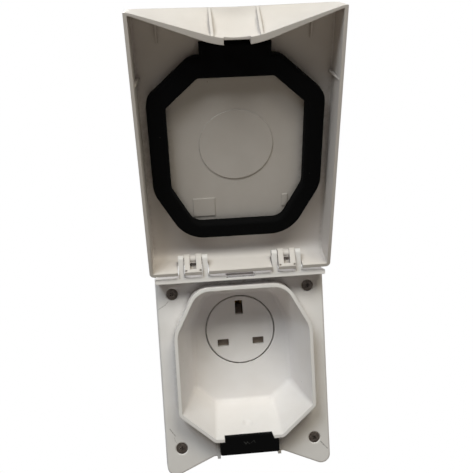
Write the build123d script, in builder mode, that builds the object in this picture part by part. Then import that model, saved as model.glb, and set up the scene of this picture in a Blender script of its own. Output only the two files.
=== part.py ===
from build123d import *
from math import asin, atan2, cos, radians, sin, sqrt, tan
import os

# Splash-proof socket outlet for a wall, with a hinged lid shown open.
# X is across, +Y goes into the wall, +Z is up. Y = 0 is the face of the wall.
# Z = 0 and X = 0 are the middle of the four wall screws.
# "Out" distances are measured from the wall towards the user, so out = -Y.

# Clearances
fit_gap = 0.1
part_gap = 0.3
pin_gap = 0.05

# Flange of the base
flange_width = 101.5
flange_depth = 5.5
flange_plate = 2.5
flange_skirt = 2.0
flange_top = 58.4
flange_foot = -54.9
foot_half_width = 21.2
foot_slope = 0.444
foot_corner_radius = 6.0
flange_draft = 7.0
flange_edge_radius = 1.2

# Collar that stands on the flange, and the recess inside it
collar_height = 11.4
collar_side_inset = 9.95
collar_top = 51.7
collar_bottom = -41.1
collar_top_flat = 26.9
collar_bottom_flat = 20.5
collar_shoulder_top = 25.6
collar_shoulder_bottom = -23.3
collar_lip = 2.0
collar_top_radius = 14.0
collar_bottom_radius = 4.0
recess_depth = 31.4
recess_half_width = 30.6
recess_top = 44.4
recess_bottom = -26.7
recess_top_flat = 21.5
recess_bottom_flat = 18.0
recess_shoulder_top = 24.1
recess_shoulder_bottom = -15.9
recess_top_radius = 11.0
recess_bottom_radius = 5.0
recess_floor_radius = 3.0
recess_wall = 2.4

# Top ledge
ledge_side_inset = 1.15
ledge_thickness = 2.9
ledge_notch_width = 16.5
ledge_notch_depth = 1.5

# Hinges
open_angle = 153.7
hinge_out = 14.0
hinge_z = 68.8
hinge_side_inset = 23.55
hinge_width = 17.0
lug_width = 3.2
lug_radius = 2.4
lug_foot = 12.0
slot_gap = 0.4
knuckle_radius = 3.0
pin_radius = 1.1
knuckle_window_width = 3.6
knuckle_window_low = 1.8
knuckle_window_high = 5.8
knuckle_window_depth = 3.6
knuckle_channel_depth = 0.7
knuckle_channel_end = 0.5
knuckle_dimple_radius = 0.6
knuckle_dimple_inset = 0.9
pin_seat_gap = 0.02

# Lid
lid_side_overhang = 1.45
lid_top = 74.4
lid_free_end = -71.5
lid_rim_gap = 0.3
lid_depth = 19.9
lid_wall = 1.8
lid_face = 2.0
lid_edge_radius = 2.6
lid_brow_radius = 9.0
lid_face_end = -69.1
scoop_rise = 15.8
scoop_inner_rise = 18.8
scoop_side_flat = 2.2
scoop_sag = 10.5
scoop_wall = 1.4
scoop_apex_radius = 50.0
scoop_corner_radius = 8.0
scoop_stations = 4
scoop_margin = 10.0
grip_rib_spacing = 23.6
grip_rib_width = 1.4
cord_notch_width = 12.9
cord_notch_depth = 2.7
cord_pocket_wall = 1.3
cord_pocket_depth = 9.0
gusset_thickness = 0.9
end_gusset_inset = 13.7
end_gusset_length = 18.6
end_gusset_height = 3.5
end_gusset_tip = 0.8
side_gusset_z = -35.6
side_gusset_reach = 2.0
pad_start = 34.6
pad_left_far = 25.0
pad_left_near = 12.6
pad_left_end = 46.0
pad_right_near = 25.6
pad_right_far = 29.0
pad_right_end = 42.0
pad_height = 0.3
disc_height = 0.4
disc_radius = 20.0
disc_z = 3.0

# Lid gasket
gasket_outer = 5.6
gasket_side_band = 4.3
gasket_top_band = 3.3
gasket_foot_band = 5.2
gasket_top_flat_inset = 2.1
gasket_foot_flat_inset = 0.9
gasket_shoulder_rise = 0.8
gasket_shoulder_foot_rise = 2.4
gasket_top_radius = 8.0
gasket_foot_radius = 2.5
gasket_block_width = 36.0
gasket_block_drop = 6.4
gasket_edge_radius = 1.4
gasket_key_width = 2.0
gasket_key_shift = 0.2
gasket_key_height = 2.0

# Rubber cable exit in the collar
exit_width = 35.0
exit_tongue_width = 29.6
exit_tongue_slant = 1.2
exit_top = -38.0
exit_foot = -49.4
exit_tongue_depth = 7.6
exit_slope = 3.0
exit_front_radius = 2.0
exit_edge_radius = 1.0
cheek_thickness = 1.9
cheek_out = 7.5
dimple_radius = 6.0
dimple_depth = 0.5
dimple_out = 7.4

# Wall screws
screw_side_inset = 10.0
screw_spacing_z = 94.9
screw_radius = 2.0
screw_neck_radius = 1.75
screw_hole_radius = 2.2
screw_head_radius = 3.5
screw_sink_radius = 4.0
screw_sink_angle = 90.0
screw_length = 30.0
screw_point = 3.0
screw_dome = 0.7
screw_slot_width = 0.9
screw_slot_length = 3.6
screw_slot_depth = 1.6
screw_boss_radius = 5.0
screw_turns = (12.0, 58.0, 33.0, 71.0)

# Wall seal under the flange
seal_thickness = 2.6

# Round socket face, seen through the floor of the recess
socket_z = 18.8
face_radius = 21.45
face_gap = 0.6
face_thickness = 3.0
face_flange_radius = 24.2
face_flange_thickness = 2.6
face_seal_width = 1.6
face_seal_thickness = 1.0
slot_spacing = 22.2
live_slot_z = 10.9
live_slot_width = 7.0
live_slot_height = 4.5
earth_slot_rise = 22.2
earth_slot_width = 4.9
earth_slot_height = 8.8
slot_corner_radius = 0.4
face_edge_chamfer = 0.4

# Shutter
shutter_travel = 4.8
shutter_thickness = 1.8
shutter_half_width = 15.2
shutter_top = 24.5
shutter_bottom = 7.4
shutter_margin = 0.15
shutter_gap = 0.4
ramp_width = 4.4
ramp_rise = 5.0
ramp_run = 4.8
ramp_back = 1.6
spring_radius = 1.05
spring_wire = 0.22
spring_turns = 6
spring_space = 9.0

# Contact carrier and contacts
carrier_half_width = 22.0
carrier_top = 41.0
carrier_bottom = -3.4
carrier_depth = 17.6
carrier_ear_thickness = 3.0
carrier_ear_radius = 2.9
carrier_corner_radius = 3.0
contact_leaf = 0.8
contact_grip = 4.1
contact_width = 6.4
contact_start = 0.5
contact_reach = 17.9
earth_contact_start = 4.7
contact_room = 0.1
terminal_size = 7.0
terminal_depth = 6.0
wire_hole_radius = 1.5
terminal_screw_radius = 1.4
terminal_screw_length = 3.0
terminal_head_radius = 2.4
terminal_head_height = 1.4
driver_slot_width = 0.7
driver_slot_depth = 0.6

# Bosses and screws behind the recess
boss_spacing = 55.2
boss_radius = 2.9
boss_length = 9.0
boss_bore = 1.25
small_screw_radius = 1.2
small_head_radius = 2.6
small_head_height = 1.6
small_screw_length = 9.0
small_hole_radius = 1.5

# Rear cover, its pillars and its gland
cover_inset = 0.1
cover_depth = 35.0
cover_wall = 2.0
cover_edge_radius = 1.5
cover_seal_thickness = 1.0
pillar_spacing = 48.0
pillar_z = -10.4
pillar_radius = 3.2
gland_inset = 14.4
gland_radius = 7.8
gland_tube_bore = 5.0
gland_bore_radius = 3.6
gland_hex = 19.0
gland_hex_height = 5.0
gland_thread_out = 10.0
gland_thread_in = 6.0
gland_nut_end = 2.0
gland_nut_chamfer = 1.2
gland_seal_rise = 0.5
gland_locknut_height = 3.5

# Sizes and places worked out from the sizes above
collar_half_width = flange_width / 2 - collar_side_inset
ledge_half_width = flange_width / 2 - ledge_side_inset
hinge_spacing = flange_width - 2 * hinge_side_inset
screw_spacing_x = flange_width - 2 * screw_side_inset
lid_half_width = flange_width / 2 + lid_side_overhang
scoop_flat_start = lid_half_width - scoop_side_flat
end_gusset_spacing = 2 * (lid_half_width - end_gusset_inset)
collar_out = flange_depth + collar_height
floor_out = collar_out - recess_depth
floor_back = floor_out - recess_wall
ledge_front = collar_out
rim_out = flange_depth + lid_rim_gap
lid_face_out = rim_out + lid_depth
lid_floor_out = lid_face_out - lid_face
gasket_front_out = collar_out + part_gap
ledge_top = flange_top
plate_back = flange_depth - flange_plate
cover_back = floor_back - cover_depth
pillar_end = cover_back + cover_wall
gland_y = -cover_back - gland_inset
face_flange_out = floor_back - face_seal_thickness
shutter_room_out = floor_out - face_thickness
face_back = face_flange_out - face_flange_thickness
carrier_back = face_back - carrier_depth
shutter_front = shutter_room_out - part_gap
shutter_rear = shutter_front - shutter_thickness
spring_out = (shutter_room_out + face_back) / 2
spring_seat_z = shutter_bottom - spring_space
boss_end = floor_back - boss_length
ear_back = boss_end - carrier_ear_thickness
contact_back = face_back - contact_reach
terminal_back = contact_back - terminal_depth
wire_hole_out = contact_back - wire_hole_radius - 1.1
live_places = (-slot_spacing / 2, slot_spacing / 2)
earth_slot_z = live_slot_z + earth_slot_rise
ramp_foot_z = earth_slot_z - earth_slot_height / 2 + 0.2
hinge_places = (-hinge_spacing / 2, hinge_spacing / 2)
pin_hole_reach = (hinge_spacing + hinge_width) / 2
side_names = ("left", "right")
front = Plane.XZ
side = Plane.YZ

# The lid has its own frame with its origin on the hinge axis. X is across, Y runs from the free
# end towards the hinge end, and Z points out of the lid's face. The plane is turned to open it.
lid_turn = radians(open_angle)
lid_out_dir = (0, -cos(lid_turn), sin(lid_turn))
hinge_point = (0, -hinge_out, hinge_z)
lid_plane = Plane(origin=hinge_point, x_dir=(1, 0, 0), z_dir=lid_out_dir)
lid_side = Plane(origin=hinge_point, x_dir=lid_out_dir, z_dir=(-1, 0, 0))
rim_d = rim_out - hinge_out
face_d = lid_face_out - hinge_out
floor_d = lid_floor_out - hinge_out
gasket_d = gasket_front_out - hinge_out
lid_top_s = lid_top - hinge_z
lid_end_s = lid_free_end - hinge_z
face_end_s = lid_face_end - hinge_z

os.makedirs("parts", exist_ok=True)


def eight_points(half, top, bottom, top_flat, bottom_flat, shoulder_top, shoulder_bottom):
    """Corners of the eight-sided outline, clockwise from the top left."""
    return [
        (-top_flat, top),
        (top_flat, top),
        (half, shoulder_top),
        (half, shoulder_bottom),
        (bottom_flat, bottom),
        (-bottom_flat, bottom),
        (-half, shoulder_bottom),
        (-half, shoulder_top),
    ]


def eight_radii(top_radius, bottom_radius):
    """Corner radii in the order of eight_points."""
    return [top_radius] * 3 + [bottom_radius] * 4 + [top_radius]


collar_points = eight_points(
    collar_half_width,
    collar_top,
    collar_bottom,
    collar_top_flat,
    collar_bottom_flat,
    collar_shoulder_top,
    collar_shoulder_bottom,
)
floor_points = eight_points(
    recess_half_width,
    recess_top,
    recess_bottom,
    recess_top_flat,
    recess_bottom_flat,
    recess_shoulder_top,
    recess_shoulder_bottom,
)


def collar_sketch(plane, grow, shift=0.0):
    """The collar's outline grown by a distance and moved along the plane's Y."""
    points = [(x, z + shift) for x, z in collar_points]
    with BuildSketch(plane) as outline:
        with BuildLine():
            FilletPolyline(
                *points,
                radius=eight_radii(collar_top_radius, collar_bottom_radius),
                close=True,
            )
        make_face()
        if grow != 0:
            offset(amount=grow)
    return outline.sketch


def floor_sketch(plane, grow):
    """The outline of the recess floor grown by a distance."""
    with BuildSketch(plane) as outline:
        with BuildLine():
            FilletPolyline(
                *floor_points,
                radius=eight_radii(recess_top_radius, recess_bottom_radius),
                close=True,
            )
        make_face()
        if grow != 0:
            offset(amount=grow)
    return outline.sketch


def tongue_sketch(gap, rise):
    """The notch in the collar's bottom wall, less a gap at its ends, with its right end slanted."""
    half = exit_tongue_width / 2 - gap
    with BuildSketch(front.offset(collar_out)) as outline:
        with BuildLine():
            Polyline(
                (-half, collar_bottom - rise),
                (-half, exit_top + rise),
                (half - exit_tongue_slant, exit_top + rise),
                (half, collar_bottom - rise),
                close=True,
            )
        make_face()
    return outline.sketch


# Inside of the recess, from the lip to the floor
recess_mouth = collar_sketch(front.offset(collar_out), -collar_lip)
recess_floor = floor_sketch(front.offset(floor_out), 0)
with BuildPart() as recess_space:
    loft([recess_mouth, recess_floor], ruled=True)
    fillet(recess_space.faces().sort_by(Axis.Y)[-1].edges(), recess_floor_radius)

# Outside of the recess tub, which starts behind the flange plate
tub_share = collar_height / recess_depth
tub_points = [
    (a + (b - a) * tub_share, c + (d - c) * tub_share)
    for (a, c), (b, d) in zip(collar_points, floor_points)
]
tub_floor = floor_sketch(front.offset(floor_out), recess_wall)
with BuildPart() as tub:
    with BuildSketch(front.offset(flange_depth)) as tub_mouth:
        with BuildLine():
            FilletPolyline(
                *tub_points,
                radius=eight_radii(recess_top_radius, recess_bottom_radius),
                close=True,
            )
        make_face()
        offset(amount=recess_wall - collar_lip)
    loft([tub_mouth.sketch, tub_floor], ruled=True)
    extrude(tub_floor, amount=-recess_wall)

# Outline of the base seen from the front
foot_corner_z = flange_foot - (flange_width / 2 - foot_half_width) * foot_slope
base_points = [
    (-flange_width / 2, flange_top),
    (flange_width / 2, flange_top),
    (flange_width / 2, foot_corner_z),
    (foot_half_width, flange_foot),
    (-foot_half_width, flange_foot),
    (-flange_width / 2, foot_corner_z),
]
base_radii = [2.0, 2.0, foot_corner_radius, 1.5, 1.5, foot_corner_radius]

with BuildPart() as base:
    # Flange: a plate with a skirt, open at the back
    with BuildSketch(front):
        with BuildLine():
            FilletPolyline(*base_points, radius=base_radii, close=True)
        make_face()
    extrude(amount=flange_depth, taper=flange_draft)
    fillet(base.faces().sort_by(Axis.Y)[0].outer_wire().edges(), flange_edge_radius)
    with BuildSketch(front):
        with BuildLine():
            FilletPolyline(*base_points, radius=base_radii, close=True)
        make_face()
        offset(amount=-flange_skirt)
    extrude(amount=plate_back, mode=Mode.SUBTRACT)
    # Collar and recess tub
    collar_foot = collar_sketch(front.offset(plate_back), 0)
    extrude(collar_foot, amount=collar_height + flange_plate)
    add(tub.part)
    # Top ledge that carries the hinge lugs
    with BuildSketch(front.offset(plate_back)) as ledge_outline:
        with Locations((0, ledge_top - ledge_thickness / 2)):
            Rectangle(2 * ledge_half_width, ledge_thickness)
        fillet(ledge_outline.vertices(), 0.8)
        with Locations((0, ledge_top)):
            Rectangle(ledge_notch_width, 2 * ledge_notch_depth, mode=Mode.SUBTRACT)
    extrude(amount=ledge_front - plate_back)
    # Hinge lugs
    for hinge_x in hinge_places:
        for sign in (-1, 1):
            lug_x = hinge_x + sign * (hinge_width - lug_width) / 2
            with BuildSketch(side.offset(lug_x)) as lug_outline:
                with Locations((-hinge_out, hinge_z)):
                    Circle(lug_radius)
                with BuildLine():
                    Polyline(
                        (-hinge_out - lug_radius, hinge_z),
                        (-ledge_front, ledge_top - ledge_thickness),
                        (-ledge_front + lug_foot, ledge_top - ledge_thickness),
                        (-hinge_out + lug_radius, hinge_z),
                        close=True,
                    )
                make_face()
            extrude(amount=lug_width / 2, both=True)
    # Cheeks that hold the rubber block below the collar
    cheek_height = collar_bottom + collar_lip - flange_foot
    with BuildSketch(front.offset(plate_back)):
        with Locations((0, flange_foot + cheek_height / 2)):
            with GridLocations(exit_width + 2 * fit_gap + cheek_thickness, 0, 2, 1):
                Rectangle(cheek_thickness, cheek_height)
    extrude(amount=cheek_out - plate_back)
    # Bosses for the wall screws
    with BuildSketch(front):
        with GridLocations(screw_spacing_x, screw_spacing_z, 2, 2):
            Circle(screw_boss_radius)
    extrude(amount=plate_back)
    # Bosses and pillars behind the recess
    with BuildSketch(front.offset(floor_back - boss_length)):
        with Locations((0, socket_z)):
            with GridLocations(boss_spacing, 0, 2, 1):
                Circle(boss_radius)
    extrude(amount=boss_length)
    with BuildSketch(front.offset(pillar_end)):
        with Locations((0, pillar_z)):
            with GridLocations(pillar_spacing, 0, 2, 1):
                Circle(pillar_radius)
    extrude(amount=floor_back - pillar_end)
    # Recess, socket hole and screw holes
    add(recess_space.part, mode=Mode.SUBTRACT)
    with BuildSketch(front.offset(floor_out)):
        with Locations((0, socket_z)):
            Circle(face_radius + face_gap)
    extrude(amount=-recess_wall, mode=Mode.SUBTRACT)
    with Locations(front.offset(flange_depth)):
        with GridLocations(screw_spacing_x, screw_spacing_z, 2, 2):
            CounterSinkHole(
                screw_hole_radius,
                screw_sink_radius,
                depth=2 * flange_depth,
                counter_sink_angle=screw_sink_angle,
            )
    with BuildSketch(front.offset(floor_back - boss_length)):
        with Locations((0, socket_z)):
            with GridLocations(boss_spacing, 0, 2, 1):
                Circle(boss_bore)
    extrude(amount=boss_length - 0.5, mode=Mode.SUBTRACT)
    with BuildSketch(front.offset(pillar_end)):
        with Locations((0, pillar_z)):
            with GridLocations(pillar_spacing, 0, 2, 1):
                Circle(boss_bore)
    extrude(amount=small_screw_length, mode=Mode.SUBTRACT)
    # Notch for the rubber block through the collar's bottom wall
    extrude(tongue_sketch(0, 0.01), amount=-exit_tongue_depth, mode=Mode.SUBTRACT)
    # Shallow dimple in the bottom wall behind the block
    wall_rise = recess_bottom - collar_bottom - collar_lip
    dimple_z = collar_bottom + collar_lip + wall_rise * (collar_out - dimple_out) / recess_depth
    with Locations((0, -dimple_out, dimple_z + dimple_radius - dimple_depth)):
        Sphere(dimple_radius, mode=Mode.SUBTRACT)
    # Hinge pin holes
    with BuildSketch(side.offset(-pin_hole_reach)):
        with Locations((-hinge_out, hinge_z)):
            Circle(pin_radius + pin_seat_gap)
    extrude(amount=2 * pin_hole_reach, mode=Mode.SUBTRACT)
base.part.label = "base_housing"
export_step(base.part, "parts/base_housing.step")

# Rubber frame between the flange and the wall
with BuildPart() as wall_seal:
    with BuildSketch(front) as seal_outline:
        with BuildLine():
            FilletPolyline(*base_points, radius=base_radii, close=True)
        make_face()
        offset(amount=-flange_skirt - fit_gap)
    extrude(amount=seal_thickness)
    extrude(collar_sketch(front, 0), amount=seal_thickness, mode=Mode.SUBTRACT)
    with BuildSketch(front):
        with GridLocations(screw_spacing_x, screw_spacing_z, 2, 2):
            Circle(screw_boss_radius + fit_gap)
    extrude(amount=seal_thickness, mode=Mode.SUBTRACT)
wall_seal.part.label = "wall_seal"
export_step(wall_seal.part, "parts/wall_seal.step")

# Black rubber block that fills the notch and the space between the cheeks
with BuildPart() as exit_seal:
    with BuildSketch(side) as exit_outline:
        with BuildLine():
            Polyline(
                (-flange_depth, collar_bottom),
                (-collar_out, collar_bottom),
                (-collar_out, exit_foot),
                (-flange_depth, exit_foot - exit_slope),
                close=True,
            )
        make_face()
        fillet(exit_outline.vertices().sort_by(Axis.X)[0:2].sort_by(Axis.Y)[0], exit_front_radius)
    extrude(amount=exit_width / 2, both=True)
    extrude(tongue_sketch(fit_gap, 0), amount=fit_gap - exit_tongue_depth)
    exit_front_edges = exit_seal.faces().sort_by(Axis.Y)[0].edges()
    fillet(exit_front_edges.filter_by(Axis.Z), exit_edge_radius)
exit_seal.part.label = "cable_exit_seal"
export_step(exit_seal.part, "parts/cable_exit_seal.step")


def scoop_outline(depth, lift, rise):
    """Outline of the space outside a face of the scooped end wall, at a depth behind the rim."""
    sag_radius = (lid_depth**2 + scoop_sag**2) / (2 * scoop_sag)
    drop = sag_radius - sqrt(sag_radius**2 - min(depth, lid_depth) ** 2)
    share = 1 - 0.96 * drop / scoop_sag
    flat_s = lid_end_s + (face_end_s - lid_end_s) * depth / lid_depth + lift
    apex_s = flat_s + rise * share
    far_x = lid_half_width + scoop_margin
    far_s = lid_end_s - scoop_margin
    with BuildSketch(lid_plane.offset(rim_d + depth)) as outline:
        with BuildLine():
            FilletPolyline(
                (-far_x, far_s),
                (-far_x, flat_s),
                (-scoop_flat_start, flat_s),
                (0, apex_s),
                (scoop_flat_start, flat_s),
                (far_x, flat_s),
                (far_x, far_s),
                radius=(0, scoop_corner_radius, scoop_apex_radius, scoop_corner_radius, 0),
            )
            Line((far_x, far_s), (-far_x, far_s))
        make_face()
    return outline.sketch


def scoop_space(lift, rise, reach):
    """Solid outside a face of the scooped end wall, from the rim to the lid's face."""
    stations = [reach * step / scoop_stations for step in range(scoop_stations + 1)]
    sections = [scoop_outline(depth, lift, rise) for depth in stations]
    with BuildPart() as space:
        loft(sections)
    return space.part


def lid_box(top_s, face, half_width, brow_radius, edge_radius):
    """Lid block from the rim plane to a face depth, with the brow rounded."""
    with BuildPart() as block:
        with BuildSketch(lid_side) as profile:
            with BuildLine():
                FilletPolyline(
                    (rim_d, top_s),
                    (face, top_s),
                    (face, lid_end_s),
                    radius=brow_radius,
                )
                Polyline((face, lid_end_s), (rim_d, lid_end_s), (rim_d, top_s))
            make_face()
        extrude(amount=half_width, both=True)
        cheeks = block.faces().filter_by(Axis.X)
        rim_plane = lid_plane.offset(rim_d)
        rounded = [
            edge
            for edge in cheeks.edges()
            if abs(rim_plane.to_local_coords(edge.center()).Z) > 0.01
            and lid_plane.to_local_coords(edge.center()).Y > lid_end_s + 0.01
        ]
        fillet(rounded, edge_radius)
    return block.part


outer_scoop = scoop_space(0, scoop_rise, lid_depth)
inner_scoop = scoop_space(scoop_wall, scoop_inner_rise, lid_depth - lid_face)
lid_block = lid_box(lid_top_s, face_d, lid_half_width, lid_brow_radius, lid_edge_radius)
lid_hollow = lid_box(
    lid_top_s - lid_face,
    floor_d,
    lid_half_width - lid_wall,
    lid_brow_radius - lid_face,
    lid_edge_radius - lid_wall,
)
with BuildPart() as lid_space:
    add(lid_hollow)
    add(inner_scoop, mode=Mode.SUBTRACT)

top_inner_s = lid_top_s - lid_face
knuckle_half = hinge_width / 2 - lug_width - part_gap
knuckle_slope = sqrt(rim_d**2 + top_inner_s**2 - knuckle_radius**2)
slot_width = lug_width + part_gap + slot_gap
slot_end_d = lug_radius + part_gap
lid_free_s = collar_bottom - gasket_outer - gasket_block_drop - hinge_z


def scoop_s(x, depth):
    """Height of the scooped wall's outer face at x near the middle, at a depth behind the rim."""
    sag_radius = (lid_depth**2 + scoop_sag**2) / (2 * scoop_sag)
    drop = sag_radius - sqrt(sag_radius**2 - depth**2)
    rise = scoop_rise * (1 - 0.96 * drop / scoop_sag)
    flat_s = lid_end_s + (face_end_s - lid_end_s) * depth / lid_depth
    slope = rise / scoop_flat_start
    if abs(x) > scoop_apex_radius * slope / sqrt(1 + slope**2):
        return flat_s + rise - slope * abs(x)
    crown_s = flat_s + rise - scoop_apex_radius * (sqrt(1 + slope**2) - 1)
    return crown_s - scoop_apex_radius + sqrt(scoop_apex_radius**2 - x**2)


hole_points = eight_points(
    collar_half_width - gasket_side_band,
    collar_top - gasket_top_band - hinge_z,
    collar_bottom + gasket_foot_band - hinge_z,
    collar_top_flat - gasket_top_flat_inset,
    collar_bottom_flat - gasket_foot_flat_inset,
    collar_shoulder_top + gasket_shoulder_rise - hinge_z,
    collar_shoulder_bottom + gasket_shoulder_foot_rise - hinge_z,
)
key_outer_grow = gasket_key_shift + gasket_key_width / 2
key_inner_grow = gasket_key_shift - gasket_key_width / 2


def hole_sketch(shrink):
    """The gasket's inner outline on the lid's floor, less a distance."""
    with BuildSketch(lid_plane.offset(floor_d)) as outline:
        with BuildLine():
            FilletPolyline(
                *hole_points,
                radius=eight_radii(gasket_top_radius, gasket_foot_radius),
                close=True,
            )
        make_face()
        if shrink != 0:
            offset(amount=-shrink)
    return outline.sketch


# Two faint pads inside the lid, kept clear of the gasket
with BuildPart() as lid_pads:
    pad_edges = (
        (-pad_left_far, -pad_left_near, pad_left_end),
        (pad_right_near, pad_right_far, pad_right_end),
    )
    with BuildSketch(lid_plane.offset(floor_d)):
        for low_x, high_x, end_z in pad_edges:
            with Locations(((low_x + high_x) / 2, (pad_start + end_z) / 2 - hinge_z)):
                Rectangle(high_x - low_x, end_z - pad_start)
    extrude(amount=-pad_height)
    extrude(hole_sketch(part_gap), amount=-pad_height, mode=Mode.INTERSECT)

with BuildPart() as lid:
    add(lid_block)
    add(outer_scoop, mode=Mode.SUBTRACT)
    add(lid_space.part, mode=Mode.SUBTRACT)
    # Slots that let the base's lugs through the hinge wall
    with BuildSketch(lid_plane.offset(rim_d)):
        for hinge_x in hinge_places:
            for sign in (-1, 1):
                with Locations((hinge_x + sign * (knuckle_half + slot_width / 2), lid_top_s)):
                    Rectangle(slot_width, 3 * lid_face)
    extrude(amount=slot_end_d - rim_d, mode=Mode.SUBTRACT)
    # Hinge knuckles on the tongues between the slots
    for hinge_x in hinge_places:
        with BuildSketch(lid_side.offset(-hinge_x)):
            with BuildLine():
                CenterArc((0, 0), knuckle_radius, 0, 360)
                Line((rim_d, top_inner_s), (knuckle_radius, top_inner_s))
            make_hull()
        extrude(amount=knuckle_half, both=True)
    # Ribs across the scooped grip
    for rib_x in (-grip_rib_spacing / 2, grip_rib_spacing / 2):
        rim_s = scoop_s(rib_x, 0)
        end_s = scoop_s(rib_x, lid_depth)
        with BuildSketch(lid_side.offset(-rib_x)):
            with BuildLine():
                Polyline(
                    (rim_d, rim_s),
                    (face_d, end_s),
                    (face_d, end_s + scoop_wall - fit_gap),
                    (rim_d, rim_s + scoop_wall - fit_gap),
                    close=True,
                )
            make_face()
        extrude(amount=grip_rib_width / 2, both=True)
    # Gussets between the end wall and the face
    floor_depth = lid_depth - lid_face
    low_root_s = scoop_s(end_gusset_spacing / 2, floor_depth) + scoop_wall / 2
    high_root_s = scoop_s(end_gusset_spacing / 2, floor_depth - end_gusset_height) + scoop_wall / 2
    for gusset_x in (-end_gusset_spacing / 2, end_gusset_spacing / 2):
        with BuildSketch(lid_side.offset(-gusset_x)):
            with BuildLine():
                Polyline(
                    (floor_d + fit_gap, low_root_s),
                    (floor_d - end_gusset_height, high_root_s),
                    (floor_d - end_gusset_tip, lid_end_s + end_gusset_length),
                    (floor_d + fit_gap, lid_end_s + end_gusset_length),
                    close=True,
                )
            make_face()
        extrude(amount=gusset_thickness / 2, both=True)
    # Gussets on the side walls
    gusset_origin = lid_plane.from_local_coords((0, side_gusset_z - hinge_z, 0))
    gusset_plane = Plane(origin=gusset_origin, x_dir=(1, 0, 0), z_dir=lid_plane.y_dir)
    inner_half = lid_half_width - lid_wall
    for sign in (-1, 1):
        with BuildSketch(gusset_plane):
            with BuildLine():
                Polyline(
                    (sign * (inner_half + 0.5), -rim_d - 0.6),
                    (sign * inner_half, -rim_d - 0.6),
                    (sign * (inner_half - side_gusset_reach), -floor_d),
                    (sign * (inner_half + 0.5), -floor_d),
                    close=True,
                )
            make_face()
        extrude(amount=gusset_thickness / 2, both=True)
    # Shallow pads and disc moulded on the inside of the face
    add(lid_pads.part)
    with BuildSketch(lid_plane.offset(floor_d)):
        with Locations((0, disc_z - hinge_z)):
            Circle(disc_radius)
    extrude(amount=-disc_height)
    # Key that holds the gasket
    key_outer = collar_sketch(lid_plane.offset(floor_d), key_outer_grow, -hinge_z)
    key_inner = collar_sketch(lid_plane.offset(floor_d), key_inner_grow, -hinge_z)
    extrude(key_outer - key_inner, amount=-gasket_key_height)
    # Notch for a cord in the free rim
    with BuildSketch(lid_plane.offset(rim_d)):
        with Locations((0, scoop_s(0, 0) + scoop_wall / 2)):
            Rectangle(cord_notch_width, 8 * scoop_wall)
    extrude(amount=cord_notch_depth, mode=Mode.SUBTRACT)
    with BuildSketch(lid_plane.offset(rim_d)):
        with Locations((0, scoop_s(0, 0) + cord_pocket_wall + 4 * scoop_wall)):
            Rectangle(cord_notch_width, 8 * scoop_wall)
    extrude(amount=cord_pocket_depth, mode=Mode.SUBTRACT)
    # Pin holes, windows and dimples in the knuckles
    slope_angle = atan2(top_inner_s, -rim_d) + asin(knuckle_radius / sqrt(rim_d**2 + top_inner_s**2))
    slope_dir = lid_side.x_dir * cos(slope_angle) - lid_side.y_dir * sin(slope_angle)
    slope_out = lid_side.x_dir * -sin(slope_angle) - lid_side.y_dir * cos(slope_angle)
    slope_start = lid_side.from_local_coords((rim_d, top_inner_s, 0))
    slope_plane = Plane(origin=slope_start, x_dir=(1, 0, 0), z_dir=slope_out)
    slope_sign = 1 if slope_plane.y_dir.dot(slope_dir) > 0 else -1
    window_middle = slope_sign * (knuckle_window_low + knuckle_window_high) / 2
    window_length = knuckle_window_high - knuckle_window_low
    with BuildSketch(slope_plane):
        for hinge_x in hinge_places:
            with Locations((hinge_x, window_middle)):
                Rectangle(knuckle_window_width, window_length)
    extrude(amount=-knuckle_window_depth, mode=Mode.SUBTRACT)
    # Channel that leaves a rounded rib on each side of the knuckle
    with BuildSketch(slope_plane):
        for hinge_x in hinge_places:
            with Locations((hinge_x, slope_sign * (knuckle_window_low + knuckle_slope) / 2)):
                Rectangle(knuckle_window_width, knuckle_slope - knuckle_window_low)
    extrude(amount=-knuckle_channel_depth, mode=Mode.SUBTRACT)
    for hinge_x in hinge_places:
        with BuildSketch(lid_side.offset(-hinge_x)):
            Circle(knuckle_radius + part_gap)
            Circle(knuckle_radius - knuckle_channel_depth, mode=Mode.SUBTRACT)
            with Locations((0, knuckle_channel_end + knuckle_radius)):
                Rectangle(4 * knuckle_radius, 2 * knuckle_radius, mode=Mode.SUBTRACT)
        extrude(amount=knuckle_window_width / 2, both=True, mode=Mode.SUBTRACT)
    with BuildSketch(slope_plane):
        for hinge_x in hinge_places:
            with Locations((hinge_x, slope_sign * knuckle_dimple_inset)):
                with GridLocations(2 * (knuckle_half - knuckle_dimple_inset), 0, 2, 1):
                    Circle(knuckle_dimple_radius)
    extrude(amount=-gusset_thickness, mode=Mode.SUBTRACT)
    with BuildSketch(side.offset(-pin_hole_reach)):
        with Locations((-hinge_out, hinge_z)):
            Circle(pin_radius + pin_gap)
    extrude(amount=2 * pin_hole_reach, mode=Mode.SUBTRACT)
lid.part.label = "lid_shell"
export_step(lid.part, "parts/lid_shell.step")

# Black gasket of the lid, which closes onto the lip of the collar
with BuildPart() as gasket:
    gasket_rim = collar_sketch(lid_plane.offset(floor_d), gasket_outer, -hinge_z)
    extrude(gasket_rim, amount=gasket_d - floor_d)
    with BuildSketch(lid_plane.offset(floor_d)):
        with Locations((0, (lid_free_s + collar_bottom - hinge_z) / 2)):
            Rectangle(gasket_block_width, collar_bottom - hinge_z - lid_free_s)
    extrude(amount=gasket_d - floor_d)
    extrude(hole_sketch(0), amount=gasket_d - floor_d, mode=Mode.SUBTRACT)
    lip_face = gasket.faces().sort_by(lid_plane.location.z_axis)[0]
    fillet(lip_face.edges(), gasket_edge_radius)
    groove_outer = collar_sketch(lid_plane.offset(floor_d), key_outer_grow + fit_gap, -hinge_z)
    groove_inner = collar_sketch(lid_plane.offset(floor_d), key_inner_grow - fit_gap, -hinge_z)
    extrude(groove_outer - groove_inner, amount=-gasket_key_height - fit_gap, mode=Mode.SUBTRACT)
gasket.part.label = "lid_gasket"
export_step(gasket.part, "parts/lid_gasket.step")

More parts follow.
